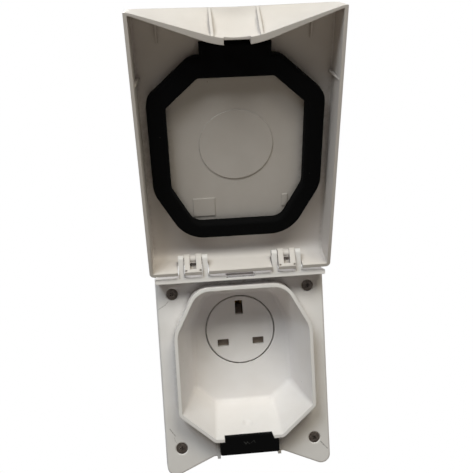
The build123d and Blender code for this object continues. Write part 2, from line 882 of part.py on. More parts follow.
# Steel pins of the two hinges
for name, hinge_x in zip(side_names, hinge_places):
    with BuildPart() as hinge_pin:
        with BuildSketch(side.offset(hinge_x)):
            with Locations((-hinge_out, hinge_z)):
                Circle(pin_radius)
        extrude(amount=hinge_width / 2, both=True)
        chamfer(hinge_pin.edges(), pin_radius / 4)
    hinge_pin.part.label = f"hinge_pin_{name}"
    export_step(hinge_pin.part, f"parts/hinge_pin_{name}.step")

# Wall screws, each turned to where it was driven home. The neck fills the flange
# and the wider shank behind it stands in for the thread.
sink_slope = tan(radians(screw_sink_angle / 2))
head_rim_y = (screw_sink_radius - screw_head_radius) / sink_slope - flange_depth
neck_y = (screw_sink_radius - screw_neck_radius) / sink_slope - flange_depth
tip_y = head_rim_y + screw_length
with BuildPart() as screw_blank:
    with BuildSketch(side):
        with BuildLine():
            TangentArc(
                (head_rim_y - screw_dome, 0),
                (head_rim_y, screw_head_radius),
                tangent=(0, 1),
            )
            Polyline(
                (head_rim_y, screw_head_radius),
                (neck_y, screw_neck_radius),
                (screw_neck_radius - screw_radius, screw_neck_radius),
                (0, screw_radius),
                (tip_y - screw_point, screw_radius),
                (tip_y, 0),
                (head_rim_y - screw_dome, 0),
            )
        make_face()
    revolve(axis=Axis.Y)
    with BuildSketch(front.offset(screw_dome - head_rim_y)):
        Rectangle(screw_slot_width, screw_slot_length)
        Rectangle(screw_slot_length, screw_slot_width)
    extrude(amount=-screw_slot_depth, mode=Mode.SUBTRACT)
corner_names = ("bottom_left", "top_left", "bottom_right", "top_right")
corner_x = (-screw_spacing_x / 2, -screw_spacing_x / 2, screw_spacing_x / 2, screw_spacing_x / 2)
corner_z = (-screw_spacing_z / 2, screw_spacing_z / 2, -screw_spacing_z / 2, screw_spacing_z / 2)
for name, screw_x, screw_z, screw_turn in zip(corner_names, corner_x, corner_z, screw_turns):
    with BuildPart() as wall_screw:
        with Locations(Location((screw_x, 0, screw_z), (0, screw_turn, 0))):
            add(screw_blank.part)
    wall_screw.part.label = f"wall_screw_{name}"
    export_step(wall_screw.part, f"parts/wall_screw_{name}.step")

# Round socket face with its three slots and the room for the shutter
shutter_room_top = shutter_top + shutter_gap
shutter_room_bottom = shutter_bottom - shutter_travel - shutter_gap
with BuildPart() as socket_face:
    with BuildSketch(front.offset(face_back)):
        with Locations((0, socket_z)):
            Circle(face_flange_radius)
    extrude(amount=face_flange_thickness)
    with BuildSketch(front.offset(face_flange_out)):
        with Locations((0, socket_z)):
            Circle(face_radius)
    extrude(amount=floor_out - face_flange_out)
    chamfer(socket_face.faces().sort_by(Axis.Y)[0].outer_wire().edges(), face_edge_chamfer)
    with BuildSketch(front.offset(floor_out)) as slot_outline:
        with Locations((0, live_slot_z)):
            with GridLocations(slot_spacing, 0, 2, 1):
                Rectangle(live_slot_width, live_slot_height)
        with Locations((0, earth_slot_z)):
            Rectangle(earth_slot_width, earth_slot_height)
        fillet(slot_outline.vertices(), slot_corner_radius)
    extrude(amount=face_back - floor_out, mode=Mode.SUBTRACT)
    with BuildSketch(front.offset(face_back)):
        with Locations((0, (shutter_room_top + shutter_room_bottom) / 2)):
            Rectangle(2 * (shutter_half_width + shutter_gap), shutter_room_top - shutter_room_bottom)
        with Locations((0, (shutter_bottom + earth_slot_z) / 2)):
            Rectangle(ramp_width + 2 * shutter_gap, earth_slot_z - shutter_bottom)
        with Locations((0, (spring_seat_z + shutter_bottom) / 2)):
            Rectangle(2 * (spring_radius + spring_wire + fit_gap), shutter_bottom - spring_seat_z)
    extrude(amount=shutter_room_out - face_back, mode=Mode.SUBTRACT)
socket_face.part.label = "socket_face"
export_step(socket_face.part, "parts/socket_face.step")

# Seal between the socket face and the recess floor
with BuildPart() as face_seal:
    with BuildSketch(front.offset(face_flange_out)):
        with Locations((0, socket_z)):
            Circle(face_flange_radius)
            Circle(face_flange_radius - face_seal_width, mode=Mode.SUBTRACT)
    extrude(amount=face_seal_thickness)
face_seal.part.label = "socket_face_seal"
export_step(face_seal.part, "parts/socket_face_seal.step")

# Shutter that covers the two lower slots until the upper pin pushes its ramp down
with BuildPart() as shutter:
    with BuildSketch(front.offset(shutter_rear)):
        with Locations((0, (shutter_top + shutter_bottom) / 2)):
            Rectangle(2 * shutter_half_width, shutter_top - shutter_bottom)
        with Locations((0, live_slot_z + shutter_travel)):
            with GridLocations(slot_spacing, 0, 2, 1):
                Rectangle(
                    live_slot_width + 2 * shutter_margin,
                    live_slot_height + 2 * shutter_margin,
                    mode=Mode.SUBTRACT,
                )
    extrude(amount=shutter_thickness)
    with BuildSketch(side):
        with BuildLine():
            Polyline(
                (-shutter_front, shutter_top - 1),
                (-shutter_front, ramp_foot_z),
                (-shutter_front + ramp_run, ramp_foot_z + ramp_rise),
                (-shutter_front + ramp_run + ramp_back, ramp_foot_z + ramp_rise),
                (-shutter_front + ramp_run + ramp_back, ramp_foot_z),
                (-shutter_rear, shutter_top - 1),
                close=True,
            )
        make_face()
    extrude(amount=ramp_width / 2, both=True)
shutter.part.label = "shutter"
export_step(shutter.part, "parts/shutter.step")

# Coil spring that lifts the shutter
coil_height = spring_space - 2 * spring_wire - 2 * pin_seat_gap
with BuildPart() as shutter_spring:
    with BuildLine(Plane.XY.offset(spring_seat_z + spring_wire + pin_seat_gap)):
        coil = Helix(coil_height / spring_turns, coil_height, spring_radius, center=(0, -spring_out, 0))
    with BuildSketch(Plane(origin=coil @ 0, z_dir=coil % 0)):
        RegularPolygon(spring_wire, 6)
    sweep(is_frenet=True)
shutter_spring.part.label = "shutter_spring"
export_step(shutter_spring.part, "parts/shutter_spring.step")

# Carrier that holds the contacts and presses the socket face forwards
ramp_room_top = ramp_foot_z + ramp_rise + shutter_gap
ramp_room_bottom = shutter_top - 1 - shutter_travel - shutter_gap
with BuildPart() as carrier:
    with BuildSketch(front.offset(carrier_back)) as carrier_outline:
        with Locations((0, (carrier_top + carrier_bottom) / 2)):
            Rectangle(2 * carrier_half_width, carrier_top - carrier_bottom)
        fillet(carrier_outline.vertices(), carrier_corner_radius)
    extrude(amount=carrier_depth)
    with BuildSketch(front.offset(ear_back)):
        with Locations((0, socket_z)):
            Rectangle(boss_spacing, 2 * carrier_ear_radius)
            with GridLocations(boss_spacing, 0, 2, 1):
                Circle(carrier_ear_radius)
    extrude(amount=carrier_ear_thickness)
    with BuildSketch(front.offset(ear_back)):
        with Locations((0, socket_z)):
            with GridLocations(boss_spacing, 0, 2, 1):
                Circle(small_hole_radius)
    extrude(amount=carrier_ear_thickness, mode=Mode.SUBTRACT)
    # Ways for the pins, rooms for the contacts and the room for the ramp
    with BuildSketch(front.offset(carrier_back)):
        with Locations((0, live_slot_z)):
            with GridLocations(slot_spacing, 0, 2, 1):
                Rectangle(live_slot_width, live_slot_height)
        with Locations((0, earth_slot_z)):
            Rectangle(earth_slot_width, earth_slot_height)
    extrude(amount=carrier_depth, mode=Mode.SUBTRACT)
    contact_across = contact_grip + 2 * contact_leaf + 2 * contact_room
    contact_along = contact_width + 2 * contact_room
    with BuildSketch(front.offset(carrier_back)):
        with Locations((0, live_slot_z)):
            with GridLocations(slot_spacing, 0, 2, 1):
                Rectangle(contact_along, contact_across)
    extrude(amount=carrier_depth - contact_start + contact_room, mode=Mode.SUBTRACT)
    with BuildSketch(front.offset(carrier_back)):
        with Locations((0, earth_slot_z)):
            Rectangle(contact_across, contact_along)
    extrude(amount=carrier_depth - earth_contact_start + contact_room, mode=Mode.SUBTRACT)
    with BuildSketch(front.offset(face_back)):
        with Locations((0, (ramp_room_top + ramp_room_bottom) / 2)):
            Rectangle(ramp_width + 2 * shutter_gap, ramp_room_top - ramp_room_bottom)
    extrude(amount=shutter_front - ramp_run - ramp_back - shutter_gap - face_back, mode=Mode.SUBTRACT)
carrier.part.label = "contact_carrier"
export_step(carrier.part, "parts/contact_carrier.step")


def slotted_screw(radius, length, head_radius, head_height):
    """Pan head screw that sits on the origin with its head towards +Y."""
    with BuildPart() as screw:
        with BuildSketch(front):
            Circle(head_radius)
        extrude(amount=-head_height)
        chamfer(screw.faces().sort_by(Axis.Y)[-1].edges(), head_height / 3)
        with BuildSketch(front):
            Circle(radius)
        extrude(amount=length)
        with BuildSketch(front.offset(-head_height)):
            Rectangle(driver_slot_width, 2 * head_radius)
        extrude(amount=driver_slot_depth, mode=Mode.SUBTRACT)
    return screw.part


small_screw = slotted_screw(small_screw_radius, small_screw_length, small_head_radius, small_head_height)
terminal_blank = slotted_screw(
    terminal_screw_radius, terminal_screw_length, terminal_head_radius, terminal_head_height
)

# Brass contacts with their terminals, and the terminal screws
contact_names = ("neutral", "line", "earth")
contact_x = live_places + (0,)
contact_z = (live_slot_z, live_slot_z, earth_slot_z)
contact_turns = (0, 0, 90)
contact_starts = (contact_start, contact_start, earth_contact_start)
for name, place_x, place_z, turn, start in zip(
    contact_names, contact_x, contact_z, contact_turns, contact_starts
):
    with BuildPart() as contact:
        with BuildSketch(front.offset(contact_back)):
            with Locations(Location((place_x, place_z), turn)):
                with GridLocations(0, contact_grip + contact_leaf, 1, 2):
                    Rectangle(contact_width, contact_leaf)
        extrude(amount=contact_reach - start)
        with BuildSketch(front.offset(terminal_back)):
            with Locations((place_x, place_z)):
                Rectangle(terminal_size, terminal_size)
        extrude(amount=terminal_depth)
        with BuildSketch(Plane.XY.offset(place_z)):
            with Locations((place_x, -wire_hole_out)):
                Circle(wire_hole_radius)
        extrude(amount=terminal_size, both=True, mode=Mode.SUBTRACT)
        with BuildSketch(front.offset(terminal_back)):
            with Locations((place_x, place_z)):
                Circle(terminal_screw_radius + pin_seat_gap)
        extrude(amount=terminal_screw_length, mode=Mode.SUBTRACT)
    contact.part.label = f"contact_{name}"
    export_step(contact.part, f"parts/contact_{name}.step")
    with BuildPart() as terminal_screw:
        with Locations((place_x, -terminal_back, place_z)):
            add(terminal_blank)
    terminal_screw.part.label = f"terminal_screw_{name}"
    export_step(terminal_screw.part, f"parts/terminal_screw_{name}.step")

# Screws of the carrier and of the rear cover
for name, sign in zip(side_names, (-1, 1)):
    with BuildPart() as carrier_screw:
        with Locations((sign * boss_spacing / 2, -ear_back, socket_z)):
            add(small_screw)
    carrier_screw.part.label = f"carrier_screw_{name}"
    export_step(carrier_screw.part, f"parts/carrier_screw_{name}.step")
    with BuildPart() as cover_screw:
        with Locations((sign * pillar_spacing / 2, -cover_back, pillar_z)):
            add(small_screw)
    cover_screw.part.label = f"cover_screw_{name}"
    export_step(cover_screw.part, f"parts/cover_screw_{name}.step")

# Rear cover over the contacts, and the seal under its rim
cover_front = floor_back - cover_seal_thickness
cover_grow = recess_wall - cover_inset
cover_low = recess_bottom - cover_grow
with BuildPart() as rear_cover:
    extrude(floor_sketch(front.offset(cover_back), cover_grow), amount=cover_front - cover_back)
    fillet(rear_cover.faces().sort_by(Axis.Y)[-1].edges(), cover_edge_radius)
    cover_hollow = floor_sketch(front.offset(pillar_end), cover_grow - cover_wall)
    extrude(cover_hollow, amount=cover_front - pillar_end, mode=Mode.SUBTRACT)
    with BuildSketch(front.offset(cover_back)):
        with Locations((0, pillar_z)):
            with GridLocations(pillar_spacing, 0, 2, 1):
                Circle(small_hole_radius)
    extrude(amount=cover_wall, mode=Mode.SUBTRACT)
    with BuildSketch(Plane.XY.offset(cover_low)):
        with Locations((0, gland_y)):
            Circle(gland_radius + fit_gap)
    extrude(amount=cover_wall, mode=Mode.SUBTRACT)
rear_cover.part.label = "rear_cover"
export_step(rear_cover.part, "parts/rear_cover.step")

with BuildPart() as cover_seal:
    seal_ring = floor_sketch(front.offset(cover_front), cover_grow)
    seal_ring -= floor_sketch(front.offset(cover_front), cover_grow - cover_wall)
    extrude(seal_ring, amount=cover_seal_thickness)
cover_seal.part.label = "rear_cover_seal"
export_step(cover_seal.part, "parts/rear_cover_seal.step")

# Cable gland through the bottom wall of the rear cover
gland_hex_low = cover_low - gland_hex_height
gland_low = gland_hex_low - gland_thread_out
gland_high = cover_low + cover_wall + gland_thread_in
with BuildPart() as gland_body:
    with BuildSketch(Plane.XY.offset(gland_hex_low)):
        with Locations((0, gland_y)):
            RegularPolygon(gland_hex / 2, 6, major_radius=False)
    extrude(amount=gland_hex_height)
    with BuildSketch(Plane.XY.offset(gland_low)):
        with Locations((0, gland_y)):
            Circle(gland_radius)
    extrude(amount=gland_high - gland_low)
    with BuildSketch(Plane.XY.offset(gland_low)):
        with Locations((0, gland_y)):
            Circle(gland_tube_bore)
    extrude(amount=gland_high - gland_low, mode=Mode.SUBTRACT)
gland_body.part.label = "gland_body"
export_step(gland_body.part, "parts/gland_body.step")

with BuildPart() as gland_locknut:
    with BuildSketch(Plane.XY.offset(cover_low + cover_wall)):
        with Locations((0, gland_y)):
            RegularPolygon(gland_hex / 2, 6, major_radius=False)
            Circle(gland_radius + pin_gap, mode=Mode.SUBTRACT)
    extrude(amount=gland_locknut_height)
gland_locknut.part.label = "gland_locknut"
export_step(gland_locknut.part, "parts/gland_locknut.step")

with BuildPart() as gland_seal:
    with BuildSketch(Plane.XY.offset(gland_low - gland_seal_rise)):
        with Locations((0, gland_y)):
            Circle(gland_tube_bore - pin_gap)
            Circle(gland_bore_radius, mode=Mode.SUBTRACT)
    extrude(amount=gland_thread_out + gland_seal_rise)
gland_seal.part.label = "gland_seal"
export_step(gland_seal.part, "parts/gland_seal.step")

gland_nut_low = gland_low - gland_seal_rise - gland_nut_end
with BuildPart() as gland_nut:
    with BuildSketch(Plane.XY.offset(gland_nut_low)):
        with Locations((0, gland_y)):
            RegularPolygon(gland_hex / 2, 6, major_radius=False)
    extrude(amount=gland_hex_low - part_gap - gland_nut_low)
    chamfer(gland_nut.faces().sort_by(Axis.Z)[0].edges(), gland_nut_chamfer)
    with BuildSketch(Plane.XY.offset(gland_nut_low + gland_nut_end)):
        with Locations((0, gland_y)):
            Circle(gland_radius + pin_gap)
    extrude(amount=gland_hex_height + gland_thread_out, mode=Mode.SUBTRACT)
    with BuildSketch(Plane.XY.offset(gland_nut_low)):
        with Locations((0, gland_y)):
            Circle(gland_bore_radius)
    extrude(amount=gland_nut_end, mode=Mode.SUBTRACT)
gland_nut.part.label = "gland_nut"
export_step(gland_nut.part, "parts/gland_nut.step")
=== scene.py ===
import logging
import math
from dataclasses import dataclass, field
from enum import Enum
from typing import Iterable, Optional, Sequence, Union

import bpy
from mathutils import Matrix, Vector


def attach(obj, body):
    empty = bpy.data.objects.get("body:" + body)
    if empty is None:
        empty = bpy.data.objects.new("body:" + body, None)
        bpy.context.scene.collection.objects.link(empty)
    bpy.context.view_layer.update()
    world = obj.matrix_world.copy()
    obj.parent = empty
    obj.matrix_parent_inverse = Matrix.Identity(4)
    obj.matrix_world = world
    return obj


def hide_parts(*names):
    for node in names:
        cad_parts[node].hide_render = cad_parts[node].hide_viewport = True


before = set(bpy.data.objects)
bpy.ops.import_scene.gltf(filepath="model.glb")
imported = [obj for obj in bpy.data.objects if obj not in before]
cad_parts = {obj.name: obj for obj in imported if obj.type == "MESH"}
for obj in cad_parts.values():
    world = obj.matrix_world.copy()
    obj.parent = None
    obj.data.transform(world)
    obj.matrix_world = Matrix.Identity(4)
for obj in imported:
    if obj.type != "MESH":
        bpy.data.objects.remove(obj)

LOG = logging.getLogger("socket_outlet")

Colour = tuple[float, float, float]
Point = tuple[float, float, float]
Socket = bpy.types.NodeSocket
Sockets = bpy.types.bpy_prop_collection
Value = Union[float, Socket]

MM_PER_METRE = 1000
QUARTER_TURN = math.pi / 2
WHITE = (1.0, 1.0, 1.0, 1.0)


class Body(Enum):
    """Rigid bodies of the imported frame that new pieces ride."""

    HOUSING = "housing"


class Slot(Enum):
    """Material slots of the record that new pieces take."""

    WALL_SCREW = "wall_screw_steel"


@dataclass(frozen=True)
class Patches:
    """A noise, with its scale per metre, and the range of it that is mapped from least to full."""

    scale: float
    detail: float
    rough: float
    low: float
    high: float
    least: float = 0.0


class Sheet:
    """Shorthand for adding and linking nodes in one node tree."""

    def __init__(self, tree: bpy.types.NodeTree) -> None:
        """Keeps the tree to draw in."""
        self.tree = tree

    def add(self, kind: str, **settings: object) -> bpy.types.Node:
        """Adds a node and sets its properties.

        Args:
            kind: Blender's identifier of the node type.
            **settings: Properties of the node.

        Returns:
            The new node.
        """
        node = self.tree.nodes.new(kind)
        for key, value in settings.items():
            setattr(node, key, value)
        return node

    def feed(self, socket: Socket, value: object) -> None:
        """Links a socket or sets a constant on an input.

        Args:
            socket: The input to fill.
            value: An output socket, or a constant for the input.
        """
        if isinstance(value, Socket):
            self.tree.links.new(value, socket)
        else:
            socket.default_value = value

    def math(self, operation: str, a: Value, b: Value = 0.0, clamp: bool = False) -> Socket:
        """Adds a Math node.

        Args:
            operation: The node's operation.
            a: First value.
            b: Second value.
            clamp: Whether the result is kept between 0 and 1.

        Returns:
            The result's socket.
        """
        node = self.add("ShaderNodeMath", operation=operation, use_clamp=clamp)
        self.feed(node.inputs[0], a)
        self.feed(node.inputs[1], b)
        return node.outputs[0]

    def vector(self, operation: str, a: object, b: object = (0.0, 0.0, 0.0)) -> bpy.types.Node:
        """Adds a Vector Math node.

        Args:
            operation: The node's operation.
            a: First vector.
            b: Second vector.

        Returns:
            The node.
        """
        node = self.add("ShaderNodeVectorMath", operation=operation)
        self.feed(node.inputs[0], a)
        self.feed(node.inputs[1], b)
        return node

    def scale_of(self, size: Value) -> Socket:
        """Turns a size in metres into the scale of a texture."""
        return self.math("DIVIDE", 1.0, size)

    def span(self, value: Value, low: float, high: float, start: float = 0.0, end: float = 1.0) -> Socket:
        """Maps a range of values smoothly onto another.

        Args:
            value: The value to map.
            low: Value that becomes start.
            high: Value that becomes end.
            start: Result at low.
            end: Result at high.

        Returns:
            The result's socket.
        """
        node = self.add("ShaderNodeMapRange", interpolation_type="SMOOTHSTEP")
        for place, item in enumerate((value, low, high, start, end)):
            self.feed(node.inputs[place], item)
        return node.outputs[0]

    def noise(self, vector: object, scale: Value, detail: float, rough: float = 0.5) -> Socket:
        """Adds a Noise texture.

        Args:
            vector: Coordinates.
            scale: Noise scale, per metre.
            detail: Octaves.
            rough: Weight of the finer octaves.

        Returns:
            The noise value's socket.
        """
        node = self.add("ShaderNodeTexNoise")
        self.feed(node.inputs["Vector"], vector)
        self.feed(node.inputs["Scale"], scale)
        self.feed(node.inputs["Detail"], detail)
        self.feed(node.inputs["Roughness"], rough)
        return node.outputs["Fac"]

    def patches(self, vector: object, patches: Patches, most: float = 1.0) -> Socket:
        """Adds patches of a noise.

        Args:
            vector: Coordinates.
            patches: The noise and the range of it that is mapped.
            most: Result in the middle of a patch.

        Returns:
            The result's socket.
        """
        value = self.noise(vector, patches.scale, patches.detail, patches.rough)
        return self.span(value, patches.low, patches.high, patches.least, most)

    def blend(self, factor: Value, a: object, b: object) -> Socket:
        """Mixes two colours.

        Args:
            factor: Share of the second colour.
            a: First colour.
            b: Second colour.

        Returns:
            The mixed colour's socket.
        """
        # Inputs 6 and 7 and output 2 are the node's colour sockets.
        node = self.add("ShaderNodeMix", data_type="RGBA", blend_type="MIX")
        self.feed(node.inputs[0], factor)
        self.feed(node.inputs[6], a)
        self.feed(node.inputs[7], b)
        return node.outputs[2]

    def bump(self, height: Value, depth: float, normal: Optional[Socket] = None) -> Socket:
        """Adds a Bump node.

        Args:
            height: The relief.
            depth: How deep a relief of 1 is, in metres.
            normal: The normal to start from, or None for the surface's own.

        Returns:
            The bent normal's socket.
        """
        node = self.add("ShaderNodeBump")
        self.feed(node.inputs["Strength"], 1.0)
        self.feed(node.inputs["Distance"], depth)
        self.feed(node.inputs["Height"], height)
        if normal is not None:
            self.feed(node.inputs["Normal"], normal)
        return node.outputs[0]


@dataclass(frozen=True)
class Pin:
    """One named socket of a node group."""

    name: str
    kind: str = "NodeSocketFloat"
    default: object = None


class Effect:
    """A shader node group, built once and placed in many materials."""

    name = "effect"
    inputs: tuple[Pin, ...] = ()
    outputs: tuple[Pin, ...] = ()

    def __init__(self) -> None:
        """Builds the group's sockets and its nodes."""
        self.group = bpy.data.node_groups.new(self.name, "ShaderNodeTree")
        for pin in self.inputs:
            made = self.group.interface.new_socket(name=pin.name, in_out="INPUT", socket_type=pin.kind)
            if pin.default is not None:
                made.default_value = pin.default
        for pin in self.outputs:
            self.group.interface.new_socket(name=pin.name, in_out="OUTPUT", socket_type=pin.kind)
        sheet = Sheet(self.group)
        self.draw(sheet, sheet.add("NodeGroupInput").outputs, sheet.add("NodeGroupOutput").inputs)

    def draw(self, sheet: Sheet, given: Sockets, result: Sockets) -> None:
        """Draws the group's nodes; each effect has its own.

        Args:
            sheet: The group's sheet.
            given: The group's inputs.
            result: The group's outputs.
        """
        raise NotImplementedError

    def place(self, sheet: Sheet, **values: object) -> bpy.types.Node:
        """Places the group in a material.

        Args:
            sheet: The material's sheet.
            **values: Values or sockets by input name, with spaces written as underscores.

        Returns:
            The group's node.
        """
        node = sheet.add("ShaderNodeGroup", node_tree=self.group)
        for key, value in values.items():
            sheet.feed(node.inputs[key.replace("_", " ")], value)
        return node


class MouldGrain(Effect):
    """Fine spark-eroded grain and slow unevenness of a moulded surface."""

    name = "mould_grain"
    inputs = (
        Pin("Vector", "NodeSocketVector"),
        Pin("Grain Size", default=0.0004),
        Pin("Swell Size", default=0.012),
    )
    outputs = (Pin("Height"), Pin("Mottle"))
    pimple_smoothness = 0.8
    pimple_share = 0.55
    swell_detail = 4.0
    swell_share = 0.9
    mottle_low = 0.32
    mottle_high = 0.68

    def draw(self, sheet: Sheet, given: Sockets, result: Sockets) -> None:
        """Mixes pimples with a slow swell.

        Args:
            sheet: The group's sheet.
            given: The group's inputs.
            result: The group's outputs.
        """
        fine = sheet.add("ShaderNodeTexVoronoi", feature="SMOOTH_F1")
        sheet.feed(fine.inputs["Smoothness"], self.pimple_smoothness)
        sheet.feed(fine.inputs["Vector"], given["Vector"])
        sheet.feed(fine.inputs["Scale"], sheet.scale_of(given["Grain Size"]))
        slow = sheet.noise(given["Vector"], sheet.scale_of(given["Swell Size"]), self.swell_detail)
        pimples = sheet.math("MULTIPLY", fine.outputs["Distance"], self.pimple_share)
        swell = sheet.math("MULTIPLY", slow, self.swell_share)
        sheet.feed(result["Height"], sheet.math("ADD", pimples, swell))
        sheet.feed(result["Mottle"], sheet.span(slow, self.mottle_low, self.mottle_high))


class CornerGrimeAndShade(Effect):
    """Dust and dirt that gather in inside corners, and painted shade there: a darkening wherever ambient
    occlusion finds a corner.
    """

    name = "corner_grime_and_shade"
    inputs = (Pin("Vector", "NodeSocketVector"), Pin("Reach", default=0.004), Pin("Amount", default=0.5))
    outputs = (Pin("Mask"),)
    rays = 8
    open_light = 0.96
    corner_light = 0.35
    patches = Patches(420.0, 5.0, 0.62, 0.3, 0.72, least=0.35)

    def draw(self, sheet: Sheet, given: Sockets, result: Sockets) -> None:
        """Takes the shelter of a corner, broken up by noise.

        Args:
            sheet: The group's sheet.
            given: The group's inputs.
            result: The group's outputs.
        """
        shelter = sheet.add("ShaderNodeAmbientOcclusion", samples=self.rays)
        sheet.feed(shelter.inputs["Distance"], given["Reach"])
        # Painted shade: the ambient occlusion of a corner becomes the mask that darkens it.
        hidden = sheet.span(shelter.outputs["AO"], self.open_light, self.corner_light)
        broken = sheet.math("MULTIPLY", hidden, sheet.patches(given["Vector"], self.patches))
        sheet.feed(result["Mask"], sheet.math("MULTIPLY", broken, given["Amount"], clamp=True))


class EdgeRub(Effect):
    """Outside edges that handling has rubbed."""

    name = "edge_rub"
    inputs = (Pin("Vector", "NodeSocketVector"), Pin("Width", default=0.0005), Pin("Amount", default=0.5))
    outputs = (Pin("Mask"), Pin("Normal", "NodeSocketVector"))
    rays = 4
    flat_match = 0.995
    edge_match = 0.86
    patches = Patches(260.0, 6.0, 0.65, 0.42, 0.62)

    def draw(self, sheet: Sheet, given: Sockets, result: Sockets) -> None:
        """Compares a rounded normal with the true one, and breaks it up.

        Args:
            sheet: The group's sheet.
            given: The group's inputs.
            result: The group's outputs.
        """
        soft = sheet.add("ShaderNodeBevel", samples=self.rays)
        sheet.feed(soft.inputs["Radius"], given["Width"])
        sheet.feed(result["Normal"], soft.outputs["Normal"])
        true = sheet.add("ShaderNodeNewGeometry")
        match = sheet.vector("DOT_PRODUCT", soft.outputs["Normal"], true.outputs["Normal"])
        turned = sheet.span(match.outputs["Value"], self.flat_match, self.edge_match)
        broken = sheet.math("MULTIPLY", turned, sheet.patches(given["Vector"], self.patches))
        sheet.feed(result["Mask"], sheet.math("MULTIPLY", broken, given["Amount"], clamp=True))


class Specks(Effect):
    """Scattered specks of dirt."""

    name = "specks"
    inputs = (Pin("Vector", "NodeSocketVector"), Pin("Spacing", default=0.006), Pin("Size", default=0.1))
    outputs = (Pin("Mask"),)

    def draw(self, sheet: Sheet, given: Sockets, result: Sockets) -> None:
        """Keeps the cores of some scattered cells.

        Args:
            sheet: The group's sheet.
            given: The group's inputs.
            result: The group's outputs.
        """
        cell = sheet.add("ShaderNodeTexVoronoi", feature="F1")
        sheet.feed(cell.inputs["Vector"], given["Vector"])
        sheet.feed(cell.inputs["Scale"], sheet.scale_of(given["Spacing"]))
        split = sheet.add("ShaderNodeSeparateColor")
        sheet.feed(split.inputs[0], cell.outputs["Color"])
        chance = sheet.math("MULTIPLY", split.outputs[0], split.outputs[1])
        size = sheet.math("MULTIPLY", chance, given["Size"])
        sheet.feed(result["Mask"], sheet.math("LESS_THAN", cell.outputs["Distance"], size))


class Scratch(Effect):
    """A straight mark between two points of the surface."""

    name = "scratch"
    inputs = (
        Pin("Vector", "NodeSocketVector"),
        Pin("Start", "NodeSocketVector"),
        Pin("End", "NodeSocketVector"),
        Pin("Width", default=0.0003),
    )
    outputs = (Pin("Mask"),)
    patches = Patches(900.0, 2.0, 0.5, 0.3, 0.7, least=0.35)

    def draw(self, sheet: Sheet, given: Sockets, result: Sockets) -> None:
        """Fades with the distance from the line, roughened along it.

        Args:
            sheet: The group's sheet.
            given: The group's inputs.
            result: The group's outputs.
        """
        along = sheet.vector("SUBTRACT", given["End"], given["Start"]).outputs[0]
        reach = sheet.vector("SUBTRACT", given["Vector"], given["Start"]).outputs[0]
        part = sheet.vector("DOT_PRODUCT", reach, along).outputs["Value"]
        whole = sheet.vector("DOT_PRODUCT", along, along).outputs["Value"]
        share = sheet.math("DIVIDE", part, whole, clamp=True)
        foot = sheet.add("ShaderNodeVectorMath", operation="SCALE")
        sheet.feed(foot.inputs[0], along)
        sheet.feed(foot.inputs["Scale"], share)
        gap = sheet.vector("SUBTRACT", reach, foot.outputs[0]).outputs[0]
        away = sheet.vector("LENGTH", gap).outputs["Value"]
        wander = sheet.patches(given["Vector"], self.patches)
        inside = sheet.math("SUBTRACT", 1.0, sheet.math("DIVIDE", away, given["Width"]), clamp=True)
        sheet.feed(result["Mask"], sheet.math("MULTIPLY", inside, wander))


class DrawnMetal(Effect):
    """Fine lines and slow stains of drawn or turned metal."""

    name = "drawn_metal"
    inputs = (Pin("Vector", "NodeSocketVector"), Pin("Line Size", default=0.0002))
    outputs = (Pin("Lines"), Pin("Stain"))
    line_stretch = (1.0, 0.06, 1.0)
    line_detail = 2.0
    patches = Patches(700.0, 5.0, 0.6, 0.35, 0.7)

    def draw(self, sheet: Sheet, given: Sockets, result: Sockets) -> None:
        """Stretches one noise into lines and lets another spread as stains.

        Args:
            sheet: The group's sheet.
            given: The group's inputs.
            result: The group's outputs.
        """
        stretched = sheet.vector("MULTIPLY", given["Vector"], self.line_stretch).outputs[0]
        lines = sheet.noise(stretched, sheet.scale_of(given["Line Size"]), self.line_detail)
        sheet.feed(result["Lines"], lines)
        sheet.feed(result["Stain"], sheet.patches(given["Vector"], self.patches))


@dataclass
class Effects:
    """The shared effects, built when the scene starts."""

    grain: MouldGrain = field(default_factory=MouldGrain)
    grime_and_shade: CornerGrimeAndShade = field(default_factory=CornerGrimeAndShade)
    rub: EdgeRub = field(default_factory=EdgeRub)
    specks: Specks = field(default_factory=Specks)
    scratch: Scratch = field(default_factory=Scratch)
    drawn: DrawnMetal = field(default_factory=DrawnMetal)


@dataclass(frozen=True)
class Mark:
    """A scratch, chip or scuff at its place on the part, in millimetres."""

    start: Point
    end: Point
    width: float
    colour: Colour
    strength: float = 1.0


def rgba(colour: Colour) -> tuple[float, float, float, float]:
    """A colour with full alpha."""
    return (*colour, 1.0)


def brighten(colour: Colour, gain: float) -> Colour:
    """A colour times a gain, with no part above 1."""
    return tuple(min(1.0, part * gain) for part in colour)


def metres(point: Point) -> Point:
    """A point in metres from one in millimetres."""
    return tuple(value / MM_PER_METRE for value in point)


def draw_marks(
    marks: Iterable[Mark], effects: Effects, sheet: Sheet, coords: Socket, colour: Socket
) -> tuple[Socket, list[Socket]]:
    """Draws marks over a colour.

    Args:
        marks: The marks.
        effects: The shared effects.
        sheet: The material's sheet.
        coords: The object coordinates.
        colour: The colour below the marks.

    Returns:
        The marked colour, and how strongly each mark shows.
    """
    strengths = []
    for mark in marks:
        placed = effects.scratch.place(
            sheet,
            Vector=coords,
            Start=metres(mark.start),
            End=metres(mark.end),
            Width=mark.width / MM_PER_METRE,
        )
        strength = sheet.math("MULTIPLY", placed.outputs["Mask"], mark.strength, clamp=True)
        colour = sheet.blend(strength, colour, rgba(mark.colour))
        strengths.append(strength)
    return colour, strengths


